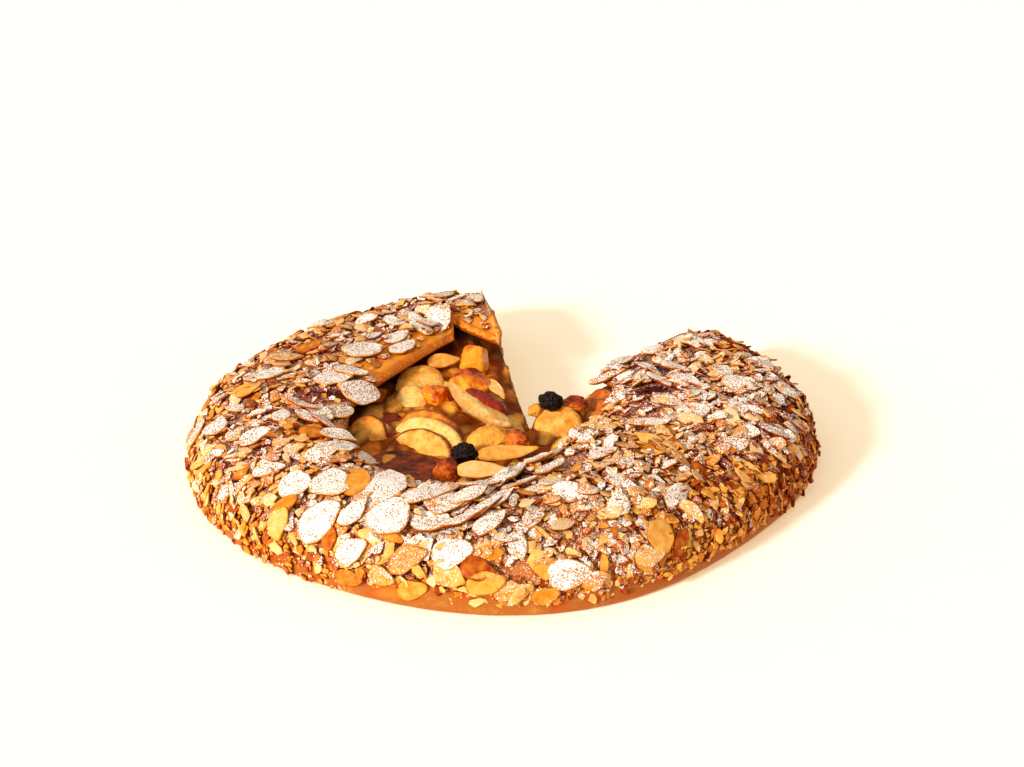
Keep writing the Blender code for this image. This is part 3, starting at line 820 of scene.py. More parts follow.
class Pile:
    """How high the almonds already lie over each cell of the skin."""

    FINER = 2

    def __init__(self, skin):
        self.skin = skin
        rows, columns = skin.points.shape[:2]
        self.height = np.zeros((rows * self.FINER, columns * self.FINER))

    def near_almonds(self):
        """1 where almonds lie on a point of the skin or beside it, 0 in the open."""
        taken = (self.height > 0.0).astype(float)
        for axis, reach in ((0, 3), (1, 2)):
            sums = [np.roll(taken, step, axis) for step in range(-reach, reach + 1)]
            taken = np.mean(sums, axis=0)
        return taken[::self.FINER, ::self.FINER]

    def cells(self, row, column):
        """Row and column of the pile's cells at places of the skin's grid."""
        r = np.clip((row * self.FINER).astype(int), 0, self.height.shape[0] - 1)
        c = np.clip((column * self.FINER).astype(int), 0, self.height.shape[1] - 1)
        return r, c

    def lay(self, flake, row, column, turn, sink=0.15, conform=0.55, tilt=(0.0, 0.0), highest=0.0018):
        """Lay a flake on what lies there already, bent part of the way to the skin. Gives its points."""
        skin = self.skin
        here, out = [found[0] for found in skin.at(np.array([row]), np.array([column]))]
        beside = np.array([(row - 1, column), (row + 1, column), (row, column - 1), (row, column + 1)])
        near, _ = skin.at(beside[:, 0], beside[:, 1])
        along = 0.5 * (near[1] - near[0])
        inward = 0.5 * (near[3] - near[2])
        right = along / np.linalg.norm(along)
        up = np.cross(out, right)
        spin_x = math.cos(turn) * right + math.sin(turn) * up
        spin_y = np.cross(out, spin_x)
        flat = flake.points[:, :1] * spin_x + flake.points[:, 1:2] * spin_y
        steps = np.linalg.lstsq(np.stack([along, inward], axis=1), flat.T, rcond=None)[0]
        rows, columns = row + steps[0], column + steps[1]
        below = self.height[self.cells(rows, columns)]
        plane = np.stack([np.ones(len(flat)), flake.points[:, 0], flake.points[:, 1]], axis=1)
        slope = np.linalg.lstsq(plane, below, rcond=None)[0]
        slope[1:] = np.clip(slope[1:], -STEEPEST_REST, STEEPEST_REST)
        level = plane @ slope
        lift = max(0.0, np.percentile(below - level, RESTING_PERCENT)) - sink * flake.thickness
        level = np.minimum(level + lift, highest)
        rest = level + 0.5 * flake.thickness
        rest = rest + flake.points[:, 0] * tilt[0] + flake.points[:, 1] * tilt[1] + flake.points[:, 2]
        base, outs = skin.at(rows, columns)
        bent = base + outs * rest[:, None]
        stiff = here + flat + out * rest[:, None]
        self.cover(flake, row, column, along, inward, spin_x, spin_y, level + flake.thickness)
        points = bent * conform + stiff * (1.0 - conform)
        return settled(points)

    def cover(self, flake, row, column, along, inward, spin_x, spin_y, level):
        """Raise the cells under the flake to its top."""
        top = float(level.mean())
        rim = flake.points[flake.rims == 1.0][:, :2]
        for share in COVER_SHARES:
            flat = share * (rim[:, :1] * spin_x + rim[:, 1:2] * spin_y)
            steps = np.linalg.lstsq(np.stack([along, inward], axis=1), flat.T, rcond=None)[0]
            r, c = self.cells(row + steps[0], column + steps[1])
            self.height[r, c] = np.maximum(self.height[r, c], top)


# Almond flakes that stand out in the photo. Pixel of the middle, length and width in mm, turn of the
# long side from level in the photo, icing sugar 0 to 1, toasting 0 to 1
STANDING_OUT = (
    (361, 486, 14, 9, 100, 0.0, 0.42), (308, 352, 12, 9, 20, 0.0, 0.6), (334, 382, 17, 11, 12, 0.9, 0.3),
    (352, 376, 15, 9, -8, 0.9, 0.2), (362, 354, 18, 14, 10, 0.9, 0.2), (395, 339, 15, 9, 25, 1.0, 0.3),
    (403, 349, 15, 9, 28, 1.0, 0.3), (369, 401, 20, 13, -25, 0.8, 0.2), (341, 414, 13, 11, 10, 0.6, 0.2),
    (323, 418, 15, 9, -25, 0.7, 0.2), (297, 487, 16, 14, 80, 1.0, 0.2), (332, 488, 19, 16, 95, 1.0, 0.2),
    (320, 523, 18, 15, 38, 1.0, 0.3), (388, 490, 19, 15, 100, 1.0, 0.3), (391, 521, 18, 17, 60, 1.0, 0.3),
    (369, 462, 20, 10, 22, 0.9, 0.4), (325, 452, 12, 10, 25, 1.0, 0.3), (346, 450, 11, 8, 10, 0.9, 0.3),
    (429, 499, 22, 8, 8, 0.9, 0.2), (477, 488, 18, 7, 12, 0.9, 0.2), (410, 560, 15, 9, 18, 0.2, 0.55),
    (455, 555, 15, 12, 5, 1.0, 0.2), (349, 578, 12, 7, -12, 0.1, 0.6), (288, 508, 10, 7, 30, 0.0, 0.55),
    (284, 524, 12, 10, 60, 0.1, 0.3), (332, 541, 9, 6, 80, 0.0, 0.7), (353, 553, 13, 10, 35, 0.9, 0.3),
    (356, 518, 14, 8, 45, 0.9, 0.3), (248, 393, 12, 11, 15, 0.0, 0.3), (286, 361, 14, 9, 12, 0.4, 0.3),
    (269, 378, 13, 9, 20, 0.9, 0.2), (281, 421, 12, 8, 70, 1.0, 0.2), (313, 436, 12, 8, -5, 0.0, 0.6),
    (220, 433, 12, 8, 55, 0.9, 0.3), (203, 437, 12, 9, 60, 0.6, 0.3), (236, 437, 9, 8, 30, 0.7, 0.3),
    (255, 440, 13, 9, 20, 0.9, 0.3), (271, 476, 13, 9, 10, 0.9, 0.3), (338, 439, 14, 8, -8, 0.9, 0.3),
    (740, 390, 16, 13, -10, 0.9, 0.2), (692, 415, 15, 12, 20, 0.9, 0.2), (645, 426, 18, 11, 5, 0.8, 0.2),
    (598, 460, 17, 12, 12, 1.0, 0.2), (695, 347, 13, 9, 70, 0.9, 0.2), (566, 573, 15, 12, 5, 0.9, 0.3),
    (509, 588, 12, 8, 0, 0.3, 0.5), (452, 573, 13, 9, -30, 0.2, 0.35), (486, 584, 14, 9, 15, 0.1, 0.42),
    (478, 570, 13, 9, -10, 0.0, 0.8), (515, 592, 12, 7, 20, 0.9, 0.3), (613, 371, 13, 8, 15, 0.5, 0.3),
    (620, 366, 13, 9, 20, 0.8, 0.2), (637, 381, 14, 9, -10, 0.6, 0.3), (432, 527, 15, 11, 15, 0.9, 0.3),
    (735, 448, 12, 9, 25, 0.8, 0.3), (622, 468, 11, 9, 30, 0.8, 0.3), (535, 523, 11, 9, 60, 0.7, 0.3),
    (652, 352, 12, 9, 30, 1.0, 0.2), (680, 345, 12, 10, 60, 1.0, 0.2), (708, 362, 13, 9, -20, 0.9, 0.3),
    (722, 377, 12, 8, -30, 0.9, 0.3), (765, 372, 12, 8, -35, 1.0, 0.3), (783, 396, 12, 8, -40, 0.9, 0.3),
    (700, 399, 12, 8, -20, 0.9, 0.3), (668, 403, 12, 8, -15, 0.8, 0.3), (738, 412, 12, 8, -20, 0.9, 0.3),
    (382, 574, 12, 7, -18, 0.6, 0.5), (411, 587, 12, 8, 14, 0.1, 0.42), (545, 592, 11, 7, 10, 0.8, 0.5),
    (592, 580, 10, 7, 30, 0.9, 0.5),
)
# Flakes that lean: the same, then the lean across the flake as a slope, and the thickness in mm
LEANING = (
    (440, 327, 15, 14, 10, 0.75, 0.3, 0.5, 1.0), (548, 461, 18, 5, 26, 0.6, 0.3, -0.25, 1.3),
    (534, 468, 16, 6, 24, 0.9, 0.3, -0.25, 1.3), (516, 475, 18, 7, 31, 0.9, 0.3, -0.25, 1.3),
    (552, 474, 15, 7, 33, 0.8, 0.4, -0.25, 1.2), (502, 484, 18, 7, 34, 0.9, 0.3, -0.3, 1.3),
    (520, 491, 15, 7, 28, 0.9, 0.3, -0.3, 1.3), (484, 493, 18, 8, 30, 0.9, 0.3, -0.3, 1.3),
    (499, 503, 17, 7, 35, 0.9, 0.4, -0.3, 1.3), (466, 501, 17, 8, 24, 0.9, 0.3, -0.3, 1.3),
    (482, 514, 18, 7, 31, 0.9, 0.4, -0.3, 1.3), (450, 512, 19, 8, 18, 0.9, 0.3, -0.3, 1.3),
    (461, 526, 19, 7, 22, 0.9, 0.5, -0.3, 1.3), (490, 528, 15, 8, 36, 0.9, 0.3, -0.3, 1.4),
    (438, 531, 16, 7, 10, 0.9, 0.4, -0.3, 1.3), (675, 502, 13, 8, 38, 1.0, 0.4, 0.4, 1.0),
    (645, 556, 12, 7, 15, 0.3, 0.3, -0.5, 1.4), (675, 546, 11, 6, 70, 0.0, 0.75, 0.1, 1.0),
    (656, 537, 13, 12, 80, 0.0, 0.30, 0.1, 1.0), (600, 390, 18, 5, 25, 0.6, 0.5, -0.2, 1.2),
    (648, 372, 17, 6, -28, 1.0, 0.5, -0.2, 1.2), (662, 380, 16, 6, -28, 1.0, 0.6, -0.2, 1.2),
    (676, 372, 16, 6, -28, 1.0, 0.6, -0.2, 1.2), (690, 385, 17, 6, -22, 1.0, 0.5, -0.2, 1.2),
    (785, 426, 15, 6, -30, 0.9, 0.7, -0.2, 1.1), (757, 415, 15, 6, -28, 0.9, 0.7, -0.2, 1.1),
    (770, 434, 14, 6, -30, 0.8, 0.7, -0.2, 1.1), (310, 422, 18, 6, -28, 0.9, 0.4, -0.2, 1.2),
    (325, 428, 15, 6, -25, 0.9, 0.5, -0.2, 1.2), (298, 410, 15, 5, -30, 0.9, 0.5, -0.2, 1.2),
)
# Places without almonds: pixel of the middle, half width and half height in pixels, how dark. Dark spots
# are painted shade, and the others get a faint painted highlight
BARE_SPOTS = (
    (524, 573, 15, 11, 0.0), (400, 593, 34, 7, 0.0), (655, 391, 20, 6, 1.0), (668, 369, 13, 4, 1.0),
)
# Places with little icing sugar, in the same way, and how little
GOLDEN_SPOTS = (
    (305, 440, 30, 22, 0.9), (247, 393, 16, 11, 0.9), (355, 486, 13, 14, 0.9), (308, 350, 14, 8, 0.8),
    (650, 445, 34, 16, 0.8), (765, 490, 55, 36, 0.85), (715, 495, 50, 22, 0.85), (608, 420, 26, 15, 0.8),
    (737, 352, 24, 11, 0.8), (545, 505, 16, 9, 0.6), (270, 500, 30, 22, 0.6), (665, 530, 26, 22, 0.8),
    (705, 560, 70, 30, 0.85), (440, 590, 110, 15, 0.5),
)
FLAKE_THICKNESS = 0.0010
# Almonds above this height are pressed down, so that none lies more than this above it
HIGHEST_CRUST = 0.0340
HIGHEST_ALMOND = 0.0019
# Edges of a flake sharper than this many degrees stay sharp
FLAKE_EDGE = 38.0
# Sides of a broken bit, of a scattered flake, of a flake that stands out, and of a loose one
BIT_SIDES = 6
FLAKE_SIDES = 14
WHOLE_SIDES = 24
LOOSE_SIDES = 28
# Right of this pixel half of the flakes that stand out and lie flat have a broken side
BROKEN_FROM = 500
# From this turn on most scattered flakes point up the fold
ROWED_FROM = 325.0
# Size of the patches where more icing sugar fell
SUGAR_PATCH = 0.017
TOPPING_SEED = 7


def turn_in_photo(skin, row, column, turn):
    """Turn in the skin's own plane that shows as this turn in the photo."""
    here, out = [found[0] for found in skin.at(np.array([row]), np.array([column]))]
    near, _ = skin.at(np.array([row - 1, row + 1]), np.array([column, column]))
    right = (near[1] - near[0]) / np.linalg.norm(near[1] - near[0])
    up = np.cross(out, right)
    seen = photo_pixels(np.array([here, here + 0.004 * right, here + 0.004 * up]))
    spread = np.stack([seen[1] - seen[0], seen[2] - seen[0]], axis=1)
    wanted = np.array([math.cos(math.radians(turn)), -math.sin(math.radians(turn))])
    found = np.linalg.solve(spread, wanted)
    return math.atan2(found[1], found[0])


# Steps round and up that never fall into rows, and how far a place may be off in cells of the skin
EVEN_STEPS = (0.6180339887, 0.7548776662)
PLACE_SPREAD = 2


def even_places(count, draw, low, high, first_angle, last_angle, skin):
    """Places spread evenly, not in rows, between two turns and two shares of the way up the skin."""
    start = draw.random()
    rows, columns = skin.points.shape[:2]
    for number in range(count):
        share = (start + number * EVEN_STEPS[0]) % 1.0
        climb = (start + number * EVEN_STEPS[1]) % 1.0
        angle = first_angle + (last_angle - first_angle) * share
        row = (angle - LEFT_CUT) / (RIGHT_CUT - LEFT_CUT) * (rows - 1)
        column = (low + (high - low) * climb) * (columns - 1)
        row += draw.uniform(-PLACE_SPREAD, PLACE_SPREAD)
        column += draw.uniform(-PLACE_SPREAD, PLACE_SPREAD)
        yield row, column, angle


# Scattered almonds: count, low and high share up the skin, first and last turn, length in mm, width share,
# chance of a broken side (None for a bit with uneven sides), icing sugar and toasting low and high, tilt
BROKEN = (
    (230, 0.035, 0.16, 125.0, 232.0, (2.0, 5.0), (0.45, 0.9), None, (0.0, 0.3), (0.3, 0.8), 0.08),
    (650, 0.135, 0.36, 101.0, 260.0, (3.0, 7.5), (0.45, 0.9), None, (0.0, 0.4), (0.0, 0.9), 0.16),
    (130, 0.180, 0.36, 260.0, 300.0, (3.0, 7.0), (0.45, 0.9), None, (0.2, 0.8), (0.2, 0.8), 0.12),
    (110, 0.100, 0.20, 264.0, 335.0, (2.5, 5.5), (0.45, 0.9), None, (0.2, 0.9), (0.1, 1.0), 0.14),
    (1050, 0.30, 0.955, 101.0, 290.0, (3.0, 8.5), (0.45, 0.9), None, (0.1, 0.85), (0.0, 0.8), 0.18),
    (190, 0.110, 0.34, 295.0, 335.0, (2.5, 6.0), (0.4, 0.85), None, (0.0, 0.4), (0.1, 0.9), 0.28),
    (290, 0.055, 0.34, 335.0, 407.0, (2.0, 5.0), (0.4, 0.85), None, (0.0, 0.3), (0.3, 1.2), 0.28),
    (420, 0.30, 0.98, 290.0, 340.0, (3.5, 9.0), (0.3, 0.7), None, (0.0, 0.9), (0.1, 0.9), 0.28),
    (260, 0.30, 0.60, 340.0, 407.0, (3.0, 7.5), (0.3, 0.7), None, (0.0, 0.8), (0.3, 1.2), 0.32),
    (230, 0.55, 0.98, 340.0, 407.0, (3.5, 9.0), (0.3, 0.7), None, (0.2, 1.0), (0.2, 0.9), 0.32),
)
BROKEN_ON_TOP = (
    (260, 0.30, 0.96, 101.0, 290.0, (2.0, 5.0), (0.5, 0.9), None, (0.2, 1.0), (0.0, 0.8), 0.22),
    (200, 0.24, 0.50, 290.0, 407.0, (2.0, 5.0), (0.4, 0.9), None, (0.1, 0.6), (0.3, 1.1), 0.40),
    (260, 0.50, 0.98, 290.0, 370.0, (2.5, 6.5), (0.4, 0.9), None, (0.4, 1.0), (0.0, 0.7), 0.35),
    (220, 0.45, 0.98, 360.0, 407.0, (3.0, 8.0), (0.5, 0.9), None, (0.5, 1.0), (0.1, 0.8), 0.30),
)
SCATTERED = (
    (80, 0.20, 0.40, 101.0, 300.0, (7.0, 11.0), (0.5, 0.75), 1.0, (0.0, 0.8), (0.0, 0.7), 0.16),
    (130, 0.34, 0.95, 101.0, 290.0, (6.5, 11.0), (0.5, 0.85), 0.8, (0.2, 1.0), (0.0, 0.6), 0.14),
    (14, 0.36, 0.94, 101.0, 150.0, (11.0, 15.0), (0.55, 0.8), 0.3, (0.6, 1.0), (0.0, 0.5), 0.10),
    (14, 0.36, 0.94, 225.0, 290.0, (11.0, 15.0), (0.55, 0.8), 0.4, (0.6, 1.0), (0.0, 0.5), 0.10),
    (120, 0.26, 0.97, 290.0, 407.0, (8.0, 13.0), (0.45, 0.75), 0.9, (0.3, 1.0), (0.0, 0.5), 0.24),
)


def bare(row, column, skin):
    """Where the case shows without almonds: the strip along the first flap's edge, and the bare spots."""
    row = int(np.clip(row, 0, len(skin.angles) - 1))
    column = int(np.clip(column, 0, skin.points.shape[1] - 1))
    share = column / (skin.points.shape[1] - 1)
    if FIRST_FLAP[0] < skin.angles[row] < FIRST_FLAP[1] and share > BARE_STRIP:
        return True
    return max(spot[row, column] for spot in skin.spots) > 0.0


def scattered_flake(lengths, shapes, break_chance, draw):
    """A bit with uneven sides, or a flake that may be broken straight once or twice."""
    length = draw.uniform(*lengths) * MM
    width = length * draw.uniform(*shapes)
    thickness = FLAKE_THICKNESS * draw.uniform(0.75, 1.2)
    if break_chance is None:
        return Flake(length, width, thickness, draw, BIT_SIDES)
    cuts = 1 + (draw.random() < 0.5) if draw.random() < break_chance else 0
    return Flake(length, width, thickness, draw, FLAKE_SIDES, cuts)


def lay_scattered(skin, pile, groups, name, draw):
    """Flakes of all the groups, one group on top of the other."""
    piece = Piece()
    for count, low, high, first, last, lengths, shapes, break_chance, sugars, toasts, tilt in groups:
        for row, column, angle in even_places(count, draw, low, high, first, last, skin):
            flake = scattered_flake(lengths, shapes, break_chance, draw)
            turn = draw.gauss(0.5 * math.pi, 0.6) if angle > ROWED_FROM else draw.uniform(0.0, math.tau)
            lean = (draw.gauss(0.0, tilt), draw.gauss(0.0, tilt))
            choices = (draw.uniform(*sugars), draw.uniform(*sugars), sugars[1], sugars[0], sugars[0])
            sugar = draw.choice(choices)
            toast = draw.uniform(*toasts)
            if bare(row, column, skin):
                continue
            here, _ = [found[0] for found in skin.at(np.array([row]), np.array([column]))]
            sugar *= 1.05 + 0.9 * noise.noise(Vector(here) / SUGAR_PATCH)
            sugar = min(0.95, sugar * (1.0 - skin.golden[int(row), int(column)]))
            points = pile.lay(flake, row, column, turn, tilt=lean)
            piece.add(points, flake.faces, rim=flake.rims, sugar=sugar, toast=toast)
    piece.finish(name, ALMOND_PAINT, "toasted_almond", sharp=FLAKE_EDGE)


def lay_almonds(skin, pile):
    """Broken and whole flakes, then the ones that stand out on top of them."""
    draw = random.Random(TOPPING_SEED)
    lay_scattered(skin, pile, BROKEN, "broken_flakes", draw)
    lay_scattered(skin, pile, SCATTERED, "scattered_flakes", draw)
    whole = Piece()
    # The flat ones have no lean and are 1 mm thick
    flat = [(*values, 0.0, 1.0) for values in STANDING_OUT]
    for across, down, length, width, turn, sugar, toast, lean, thickness in flat + list(LEANING):
        row, column = skin.under_pixel((across, down))
        cuts = 1 if across > BROKEN_FROM and not lean and draw.random() < 0.5 else 0
        flake = Flake(length * MM, width * MM, thickness * MM, draw, WHOLE_SIDES, cuts, fine=True)
        spin = turn_in_photo(skin, float(row), float(column), turn)
        lies = {"sink": 0.0, "conform": 0.4, "tilt": (0.0, lean), "highest": 0.0030}
        points = pile.lay(flake, float(row), float(column), spin, **lies)
        whole.add(points, flake.faces, rim=flake.rims, sugar=sugar, toast=toast)
    whole.finish("whole_flakes", ALMOND_PAINT, "toasted_almond", sharp=FLAKE_EDGE)
    lay_scattered(skin, pile, BROKEN_ON_TOP, "small_flakes", draw)


def nib_shapes(draw, count):
    """Chopped almond pieces: small flat chips with uneven straight sides."""
    shapes = []
    for _ in range(count):
        shape = bmesh.new()
        for _ in range(NIB_CORNERS):
            place = Vector([draw.gauss(0.0, 1.0) for _ in range(3)]).normalized()
            place.x *= draw.uniform(0.8, 1.3)
            place.z *= 0.45
            shape.verts.new(0.5 * place)
        bmesh.ops.convex_hull(shape, input=shape.verts)
        bmesh.ops.delete(shape, geom=[vert for vert in shape.verts if not vert.link_faces], context="VERTS")
        shape.verts.index_update()
        points = np.array([vert.co[:] for vert in shape.verts])
        shapes.append((points, [[vert.index for vert in face.verts] for face in shape.faces]))
        shape.free()
    return shapes


# Chopped almonds: count, low and high share up the skin, first and last turn, size in mm, and how far a
# piece stands out, as a share of its size
NIB_SHAPES = 24
NIB_CORNERS = 9
CHOPPED = (
    (700, 0.030, 0.14, 120.0, 235.0, (1.0, 2.4), -0.05),
    (1150, 0.130, 0.32, 101.0, 245.0, (1.1, 2.7), 0.06),
    (260, 0.170, 0.32, 245.0, 300.0, (1.1, 2.4), 0.0),
    (420, 0.100, 0.20, 262.0, 335.0, (1.2, 3.0), 0.06),
    (90, 0.105, 0.19, 235.0, 262.0, (1.0, 2.2), -0.05),
    (420, 0.095, 0.34, 298.0, 335.0, (1.2, 2.8), 0.10),
    (850, 0.050, 0.34, 335.0, 407.0, (1.2, 2.6), 0.04),
    (1200, 0.30, 0.95, 101.0, 300.0, (1.2, 2.8), 0.14),
    (1100, 0.34, 0.985, 300.0, 407.0, (1.1, 2.6), 0.14),
)


def lay_chopped(skin, pile):
    """Chopped almonds between the flakes and on the rim."""
    draw = random.Random(TOPPING_SEED + 3)
    shapes = nib_shapes(draw, NIB_SHAPES)
    piece = Piece()
    for count, low, high, first, last, sizes, out_share in CHOPPED:
        for row, column, _ in even_places(count, draw, low, high, first, last, skin):
            points, faces = draw.choice(shapes)
            size = draw.uniform(*sizes) * MM
            spin = Matrix.Rotation(draw.uniform(0.0, math.tau), 3, "Z")
            sway = Vector([draw.gauss(0.0, 0.45) for _ in range(3)])
            sugar = draw.uniform(0.0, 0.8) ** 2
            toast = draw.uniform(0.0, 0.85)
            if bare(row, column, skin):
                continue
            sugar *= 1.0 - skin.golden[int(row), int(column)]
            here, out = [found[0] for found in skin.at(np.array([row]), np.array([column]))]
            r, c = pile.cells(np.array([row]), np.array([column]))
            level = min(0.0020, pile.height[r[0], c[0]] * draw.uniform(0.2, 1.0))
            turn = (Vector(out) + sway).to_track_quat("Z", "Y").to_matrix() @ spin
            bit = points @ np.array(turn).T * size
            bit -= 0.45 * (bit @ out)[:, None] * out
            bit = settled(bit + here + out * (level + out_share * size))
            piece.add(bit, faces, rim=0.5, sugar=sugar, toast=toast)
    piece.finish("chopped_almonds", ALMOND_PAINT, "toasted_almond", smooth=False)


# Apple slices 1 to 11 as in the solids: foot ends in plan, height of the foot, size up the face, thickness,
# lean. Then how golden the flesh is, how browned its rim, and how far the slice is bent, in metres
APPLE_SLICES = (
    ((-0.0525, -0.0245), (-0.0262, -0.0430), 0.0120, 0.0185, 0.0030, 44.0, 0.40, 1.0, 0.0012),
    ((-0.0530, -0.0165), (-0.0220, -0.0405), 0.0130, 0.0195, 0.0030, 42.0, 0.10, 0.3, 0.0014),
    ((-0.0505, -0.0085), (-0.0220, -0.0305), 0.0135, 0.0180, 0.0028, 40.0, 0.75, 0.8, 0.0014),
    ((-0.0695, -0.0205), (-0.0510, -0.0250), 0.0130, 0.0180, 0.0040, 44.0, 0.50, 1.0, 0.0006),
    ((-0.0485, 0.0225), (-0.0275, 0.0225), 0.0205, 0.0200, 0.0036, 80.0, 0.40, 0.2, 0.0004),
    ((-0.0490, 0.0120), (-0.0345, 0.0110), 0.0160, 0.0135, 0.0060, 58.0, 0.20, 0.2, 0.0004),
    ((-0.0200, 0.0265), (0.0030, -0.0185), 0.0228, 0.0125, 0.0055, -72.0, 0.12, 0.4, 0.0016),
    ((-0.0115, -0.0165), (0.0070, -0.0180), 0.0170, 0.0105, 0.0040, 55.0, 0.30, 0.4, 0.0006),
    ((0.0080, -0.0150), (0.0320, -0.0190), 0.0095, 0.0230, 0.0085, 40.0, 0.48, 1.0, 0.0010),
    ((0.0320, -0.0030), (0.0430, -0.0080), 0.0165, 0.0140, 0.0030, 40.0, 0.80, 0.8, 0.0004),
    ((0.0315, 0.0060), (0.0440, 0.0010), 0.0170, 0.0140, 0.0032, 40.0, 0.85, 0.8, 0.0004),
)
# Lumps as in the solids: centre, radii, turn. Then relief in metres, size of its lumps, and how burnt it is
FRUIT_LUMPS = {
    "caramel_apple_1": ((-0.0150, 0.0470, 0.0240), (0.0064, 0.0100, 0.0066), 10.0, 0.0012, 0.0080, -0.20),
    "caramel_apple_2": ((-0.0158, 0.0195, 0.0262), (0.0082, 0.0086, 0.0052), 30.0, 0.0010, 0.0036, 0.20),
    "caramel_apple_3": ((-0.0100, 0.0010, 0.0268), (0.0118, 0.0036, 0.0030), -50.0, 0.0008, 0.0030, 0.80),
    "glazed_apple": ((-0.0305, 0.0165, 0.0222), (0.0066, 0.0056, 0.0042), -15.0, 0.0008, 0.0020, 0.25),
    "golden_apple": ((-0.0082, -0.0295, 0.0225), (0.0088, 0.0066, 0.0064), 10.0, 0.0009, 0.0070, -0.10),
    "sultana_1": ((0.0036, -0.0305, 0.0235), (0.0054, 0.0050, 0.0046), -12.0, 0.0009, 0.0024, 0.10),
    "sultana_2": ((-0.0243, -0.0560, 0.0225), (0.0056, 0.0050, 0.0062), 0.0, 0.0009, 0.0028, 0.35),
    "sultana_3": ((0.0280, -0.0020, 0.0268), (0.0056, 0.0040, 0.0036), -20.0, 0.0008, 0.0028, 0.30),
    "raisin_1": ((0.0178, -0.0065, 0.0302), (0.0050, 0.0040, 0.0040), -15.0, 0.0012, 0.0018, 1.0),
    "raisin_2": ((-0.0178, -0.0470, 0.0264), (0.0052, 0.0044, 0.0042), 10.0, 0.0012, 0.0018, 1.0),
    "apple_nib": ((0.0112, -0.0044, 0.0250), (0.0036, 0.0026, 0.0026), 20.0, 0.0006, 0.0030, 0.0),
}
# Loose flakes as in the solids: centre, half length, half width, turn, tilt. Then icing sugar and toasting
LOOSE_FLAKES = {
    "almond_flake_1": ((-0.0288, 0.0465, 0.0242), 0.0070, 0.0048, 12.0, 10.0, 0.0, 0.35),
    "almond_flake_2": ((-0.0013, -0.0460, 0.0262), 0.0115, 0.0042, 15.0, 20.0, 0.0, 0.30),
    "almond_flake_3": ((-0.0112, -0.0600, 0.0258), 0.0092, 0.0044, 2.0, 22.0, 0.0, 0.12),
    "almond_flake_4": ((-0.0054, 0.0135, 0.0268), 0.0100, 0.0024, -70.0, 6.0, 0.0, 0.15),
    "almond_flake_5": ((-0.0560, 0.0135, 0.0232), 0.0056, 0.0042, 60.0, 15.0, 0.0, 0.80),
}
LOOSE_THICKNESS = 0.0012
LUMP_SUBDIVISIONS = 5
# Flats on a lump of apple
FLATS = 9
# Points round a slice, and its rings as shares of its outline
SLICE_TURNS = 64
SLICE_RINGS = (0.0, 0.07, 0.16, 0.26, 0.38, 0.50, 0.64, 0.76, 0.86, 0.93, 0.975, 1.0)
# Share of the points on the round side, how full its curve is, and how high up the face its middle lies
SLICE_ARC = 0.68
SLICE_FULLNESS = 0.65
SLICE_MIDDLE = 0.42


def slice_outline(half, height):
    """A half moon, counted round from its right foot, with a slightly sagging straight side."""
    outline = []
    arc = int(SLICE_TURNS * SLICE_ARC)
    for step in range(SLICE_TURNS):
        if step <= arc:
            swing = math.pi * step / arc
            rise = 0.12 + 0.88 * math.sin(swing) ** SLICE_FULLNESS
            outline.append((half * math.cos(swing), height * rise))
        else:
            share = (step - arc) / (SLICE_TURNS - arc)
            outline.append((half * (2.0 * share - 1.0), height * (0.12 - 0.18 * math.sin(math.pi * share))))
    return np.array(outline)


def apple_slice(name, left, right, foot, height, thickness, lean, golden, browned, bend, seed):
    """A slice of cooked apple: soft faces, a rounded rim, bent along its length."""
    left = Vector(left)
    right = Vector(right)
    half = 0.5 * (right - left).length
    outline = slice_outline(half, height)
    middle = np.array([0.0, SLICE_MIDDLE * height])
    piece = Piece()
    points = []
    rims = []
    rings = [(share, -1.0) for share in SLICE_RINGS]
    rings += [(share, 1.0) for share in reversed(SLICE_RINGS[:-1])]
    for share, side in rings:
        ring = middle + (outline - middle) * share if share else middle[None]
        rounding = (1.0 - share ** 6) ** 0.5
        off = np.full(len(ring), side * 0.5 * thickness * rounding)
        flat = np.stack([ring[:, 0], off, ring[:, 1]], axis=1)
        flat[:, 1] += bend * (flat[:, 0] / half) ** 2
        points.append(flat)
        rims.append(np.full(len(ring), share))
    points = np.concatenate(points)
    rims = np.concatenate(rims)
    relief = 0.0005 * lumps(points, 0.0060, seed) + 0.00022 * lumps(points, 0.0019, seed + 1)
    points[:, 1] += np.sign(points[:, 1]) * relief * (1.0 - rims ** 8)
    points[:, 1] += 0.0006 * lumps(points * np.array([1.0, 0.0, 1.0]), 0.010, seed + 2)
    points[:, 2] += 0.0005 * lumps(points, 0.004, seed + 3) * rims ** 4
    heading = math.atan2(right.y - left.y, right.x - left.x)
    centre = 0.5 * (left + right)
    place = Matrix.Translation(Vector((centre.x, centre.y, foot)) + MIDDLE_SHIFT)
    place = place @ Matrix.Rotation(heading, 4, "Z") @ Matrix.Rotation(math.radians(-lean), 4, "X")
    placed = [place @ Vector(point) for point in points]
    # The upper rim, which carries the burnt skin and painted shade
    crown = np.clip((points[:, 2] - 0.10 * height) / (0.4 * height), 0.0, 1.0) * rims
    faces = turned_over(ringed_faces(len(rings), SLICE_TURNS))
    piece.add(placed, faces, rim=crown, golden=golden, browned=browned)
    piece.finish(name + "_flesh", APPLE_PAINT, "apple_slice", [name])


def cut_flats(unit, seed):
    """A ball with uneven flats all round, like a piece cut from an apple."""
    draw = random.Random(seed)
    for _ in range(FLATS):
        facing = np.array(Vector([draw.gauss(0.0, 1.0) for _ in range(3)]).normalized())
        beyond = (unit @ facing - draw.uniform(0.66, 0.84)).clip(0.0)
        unit = unit - 0.92 * beyond[:, None] * facing
    return unit * 1.10


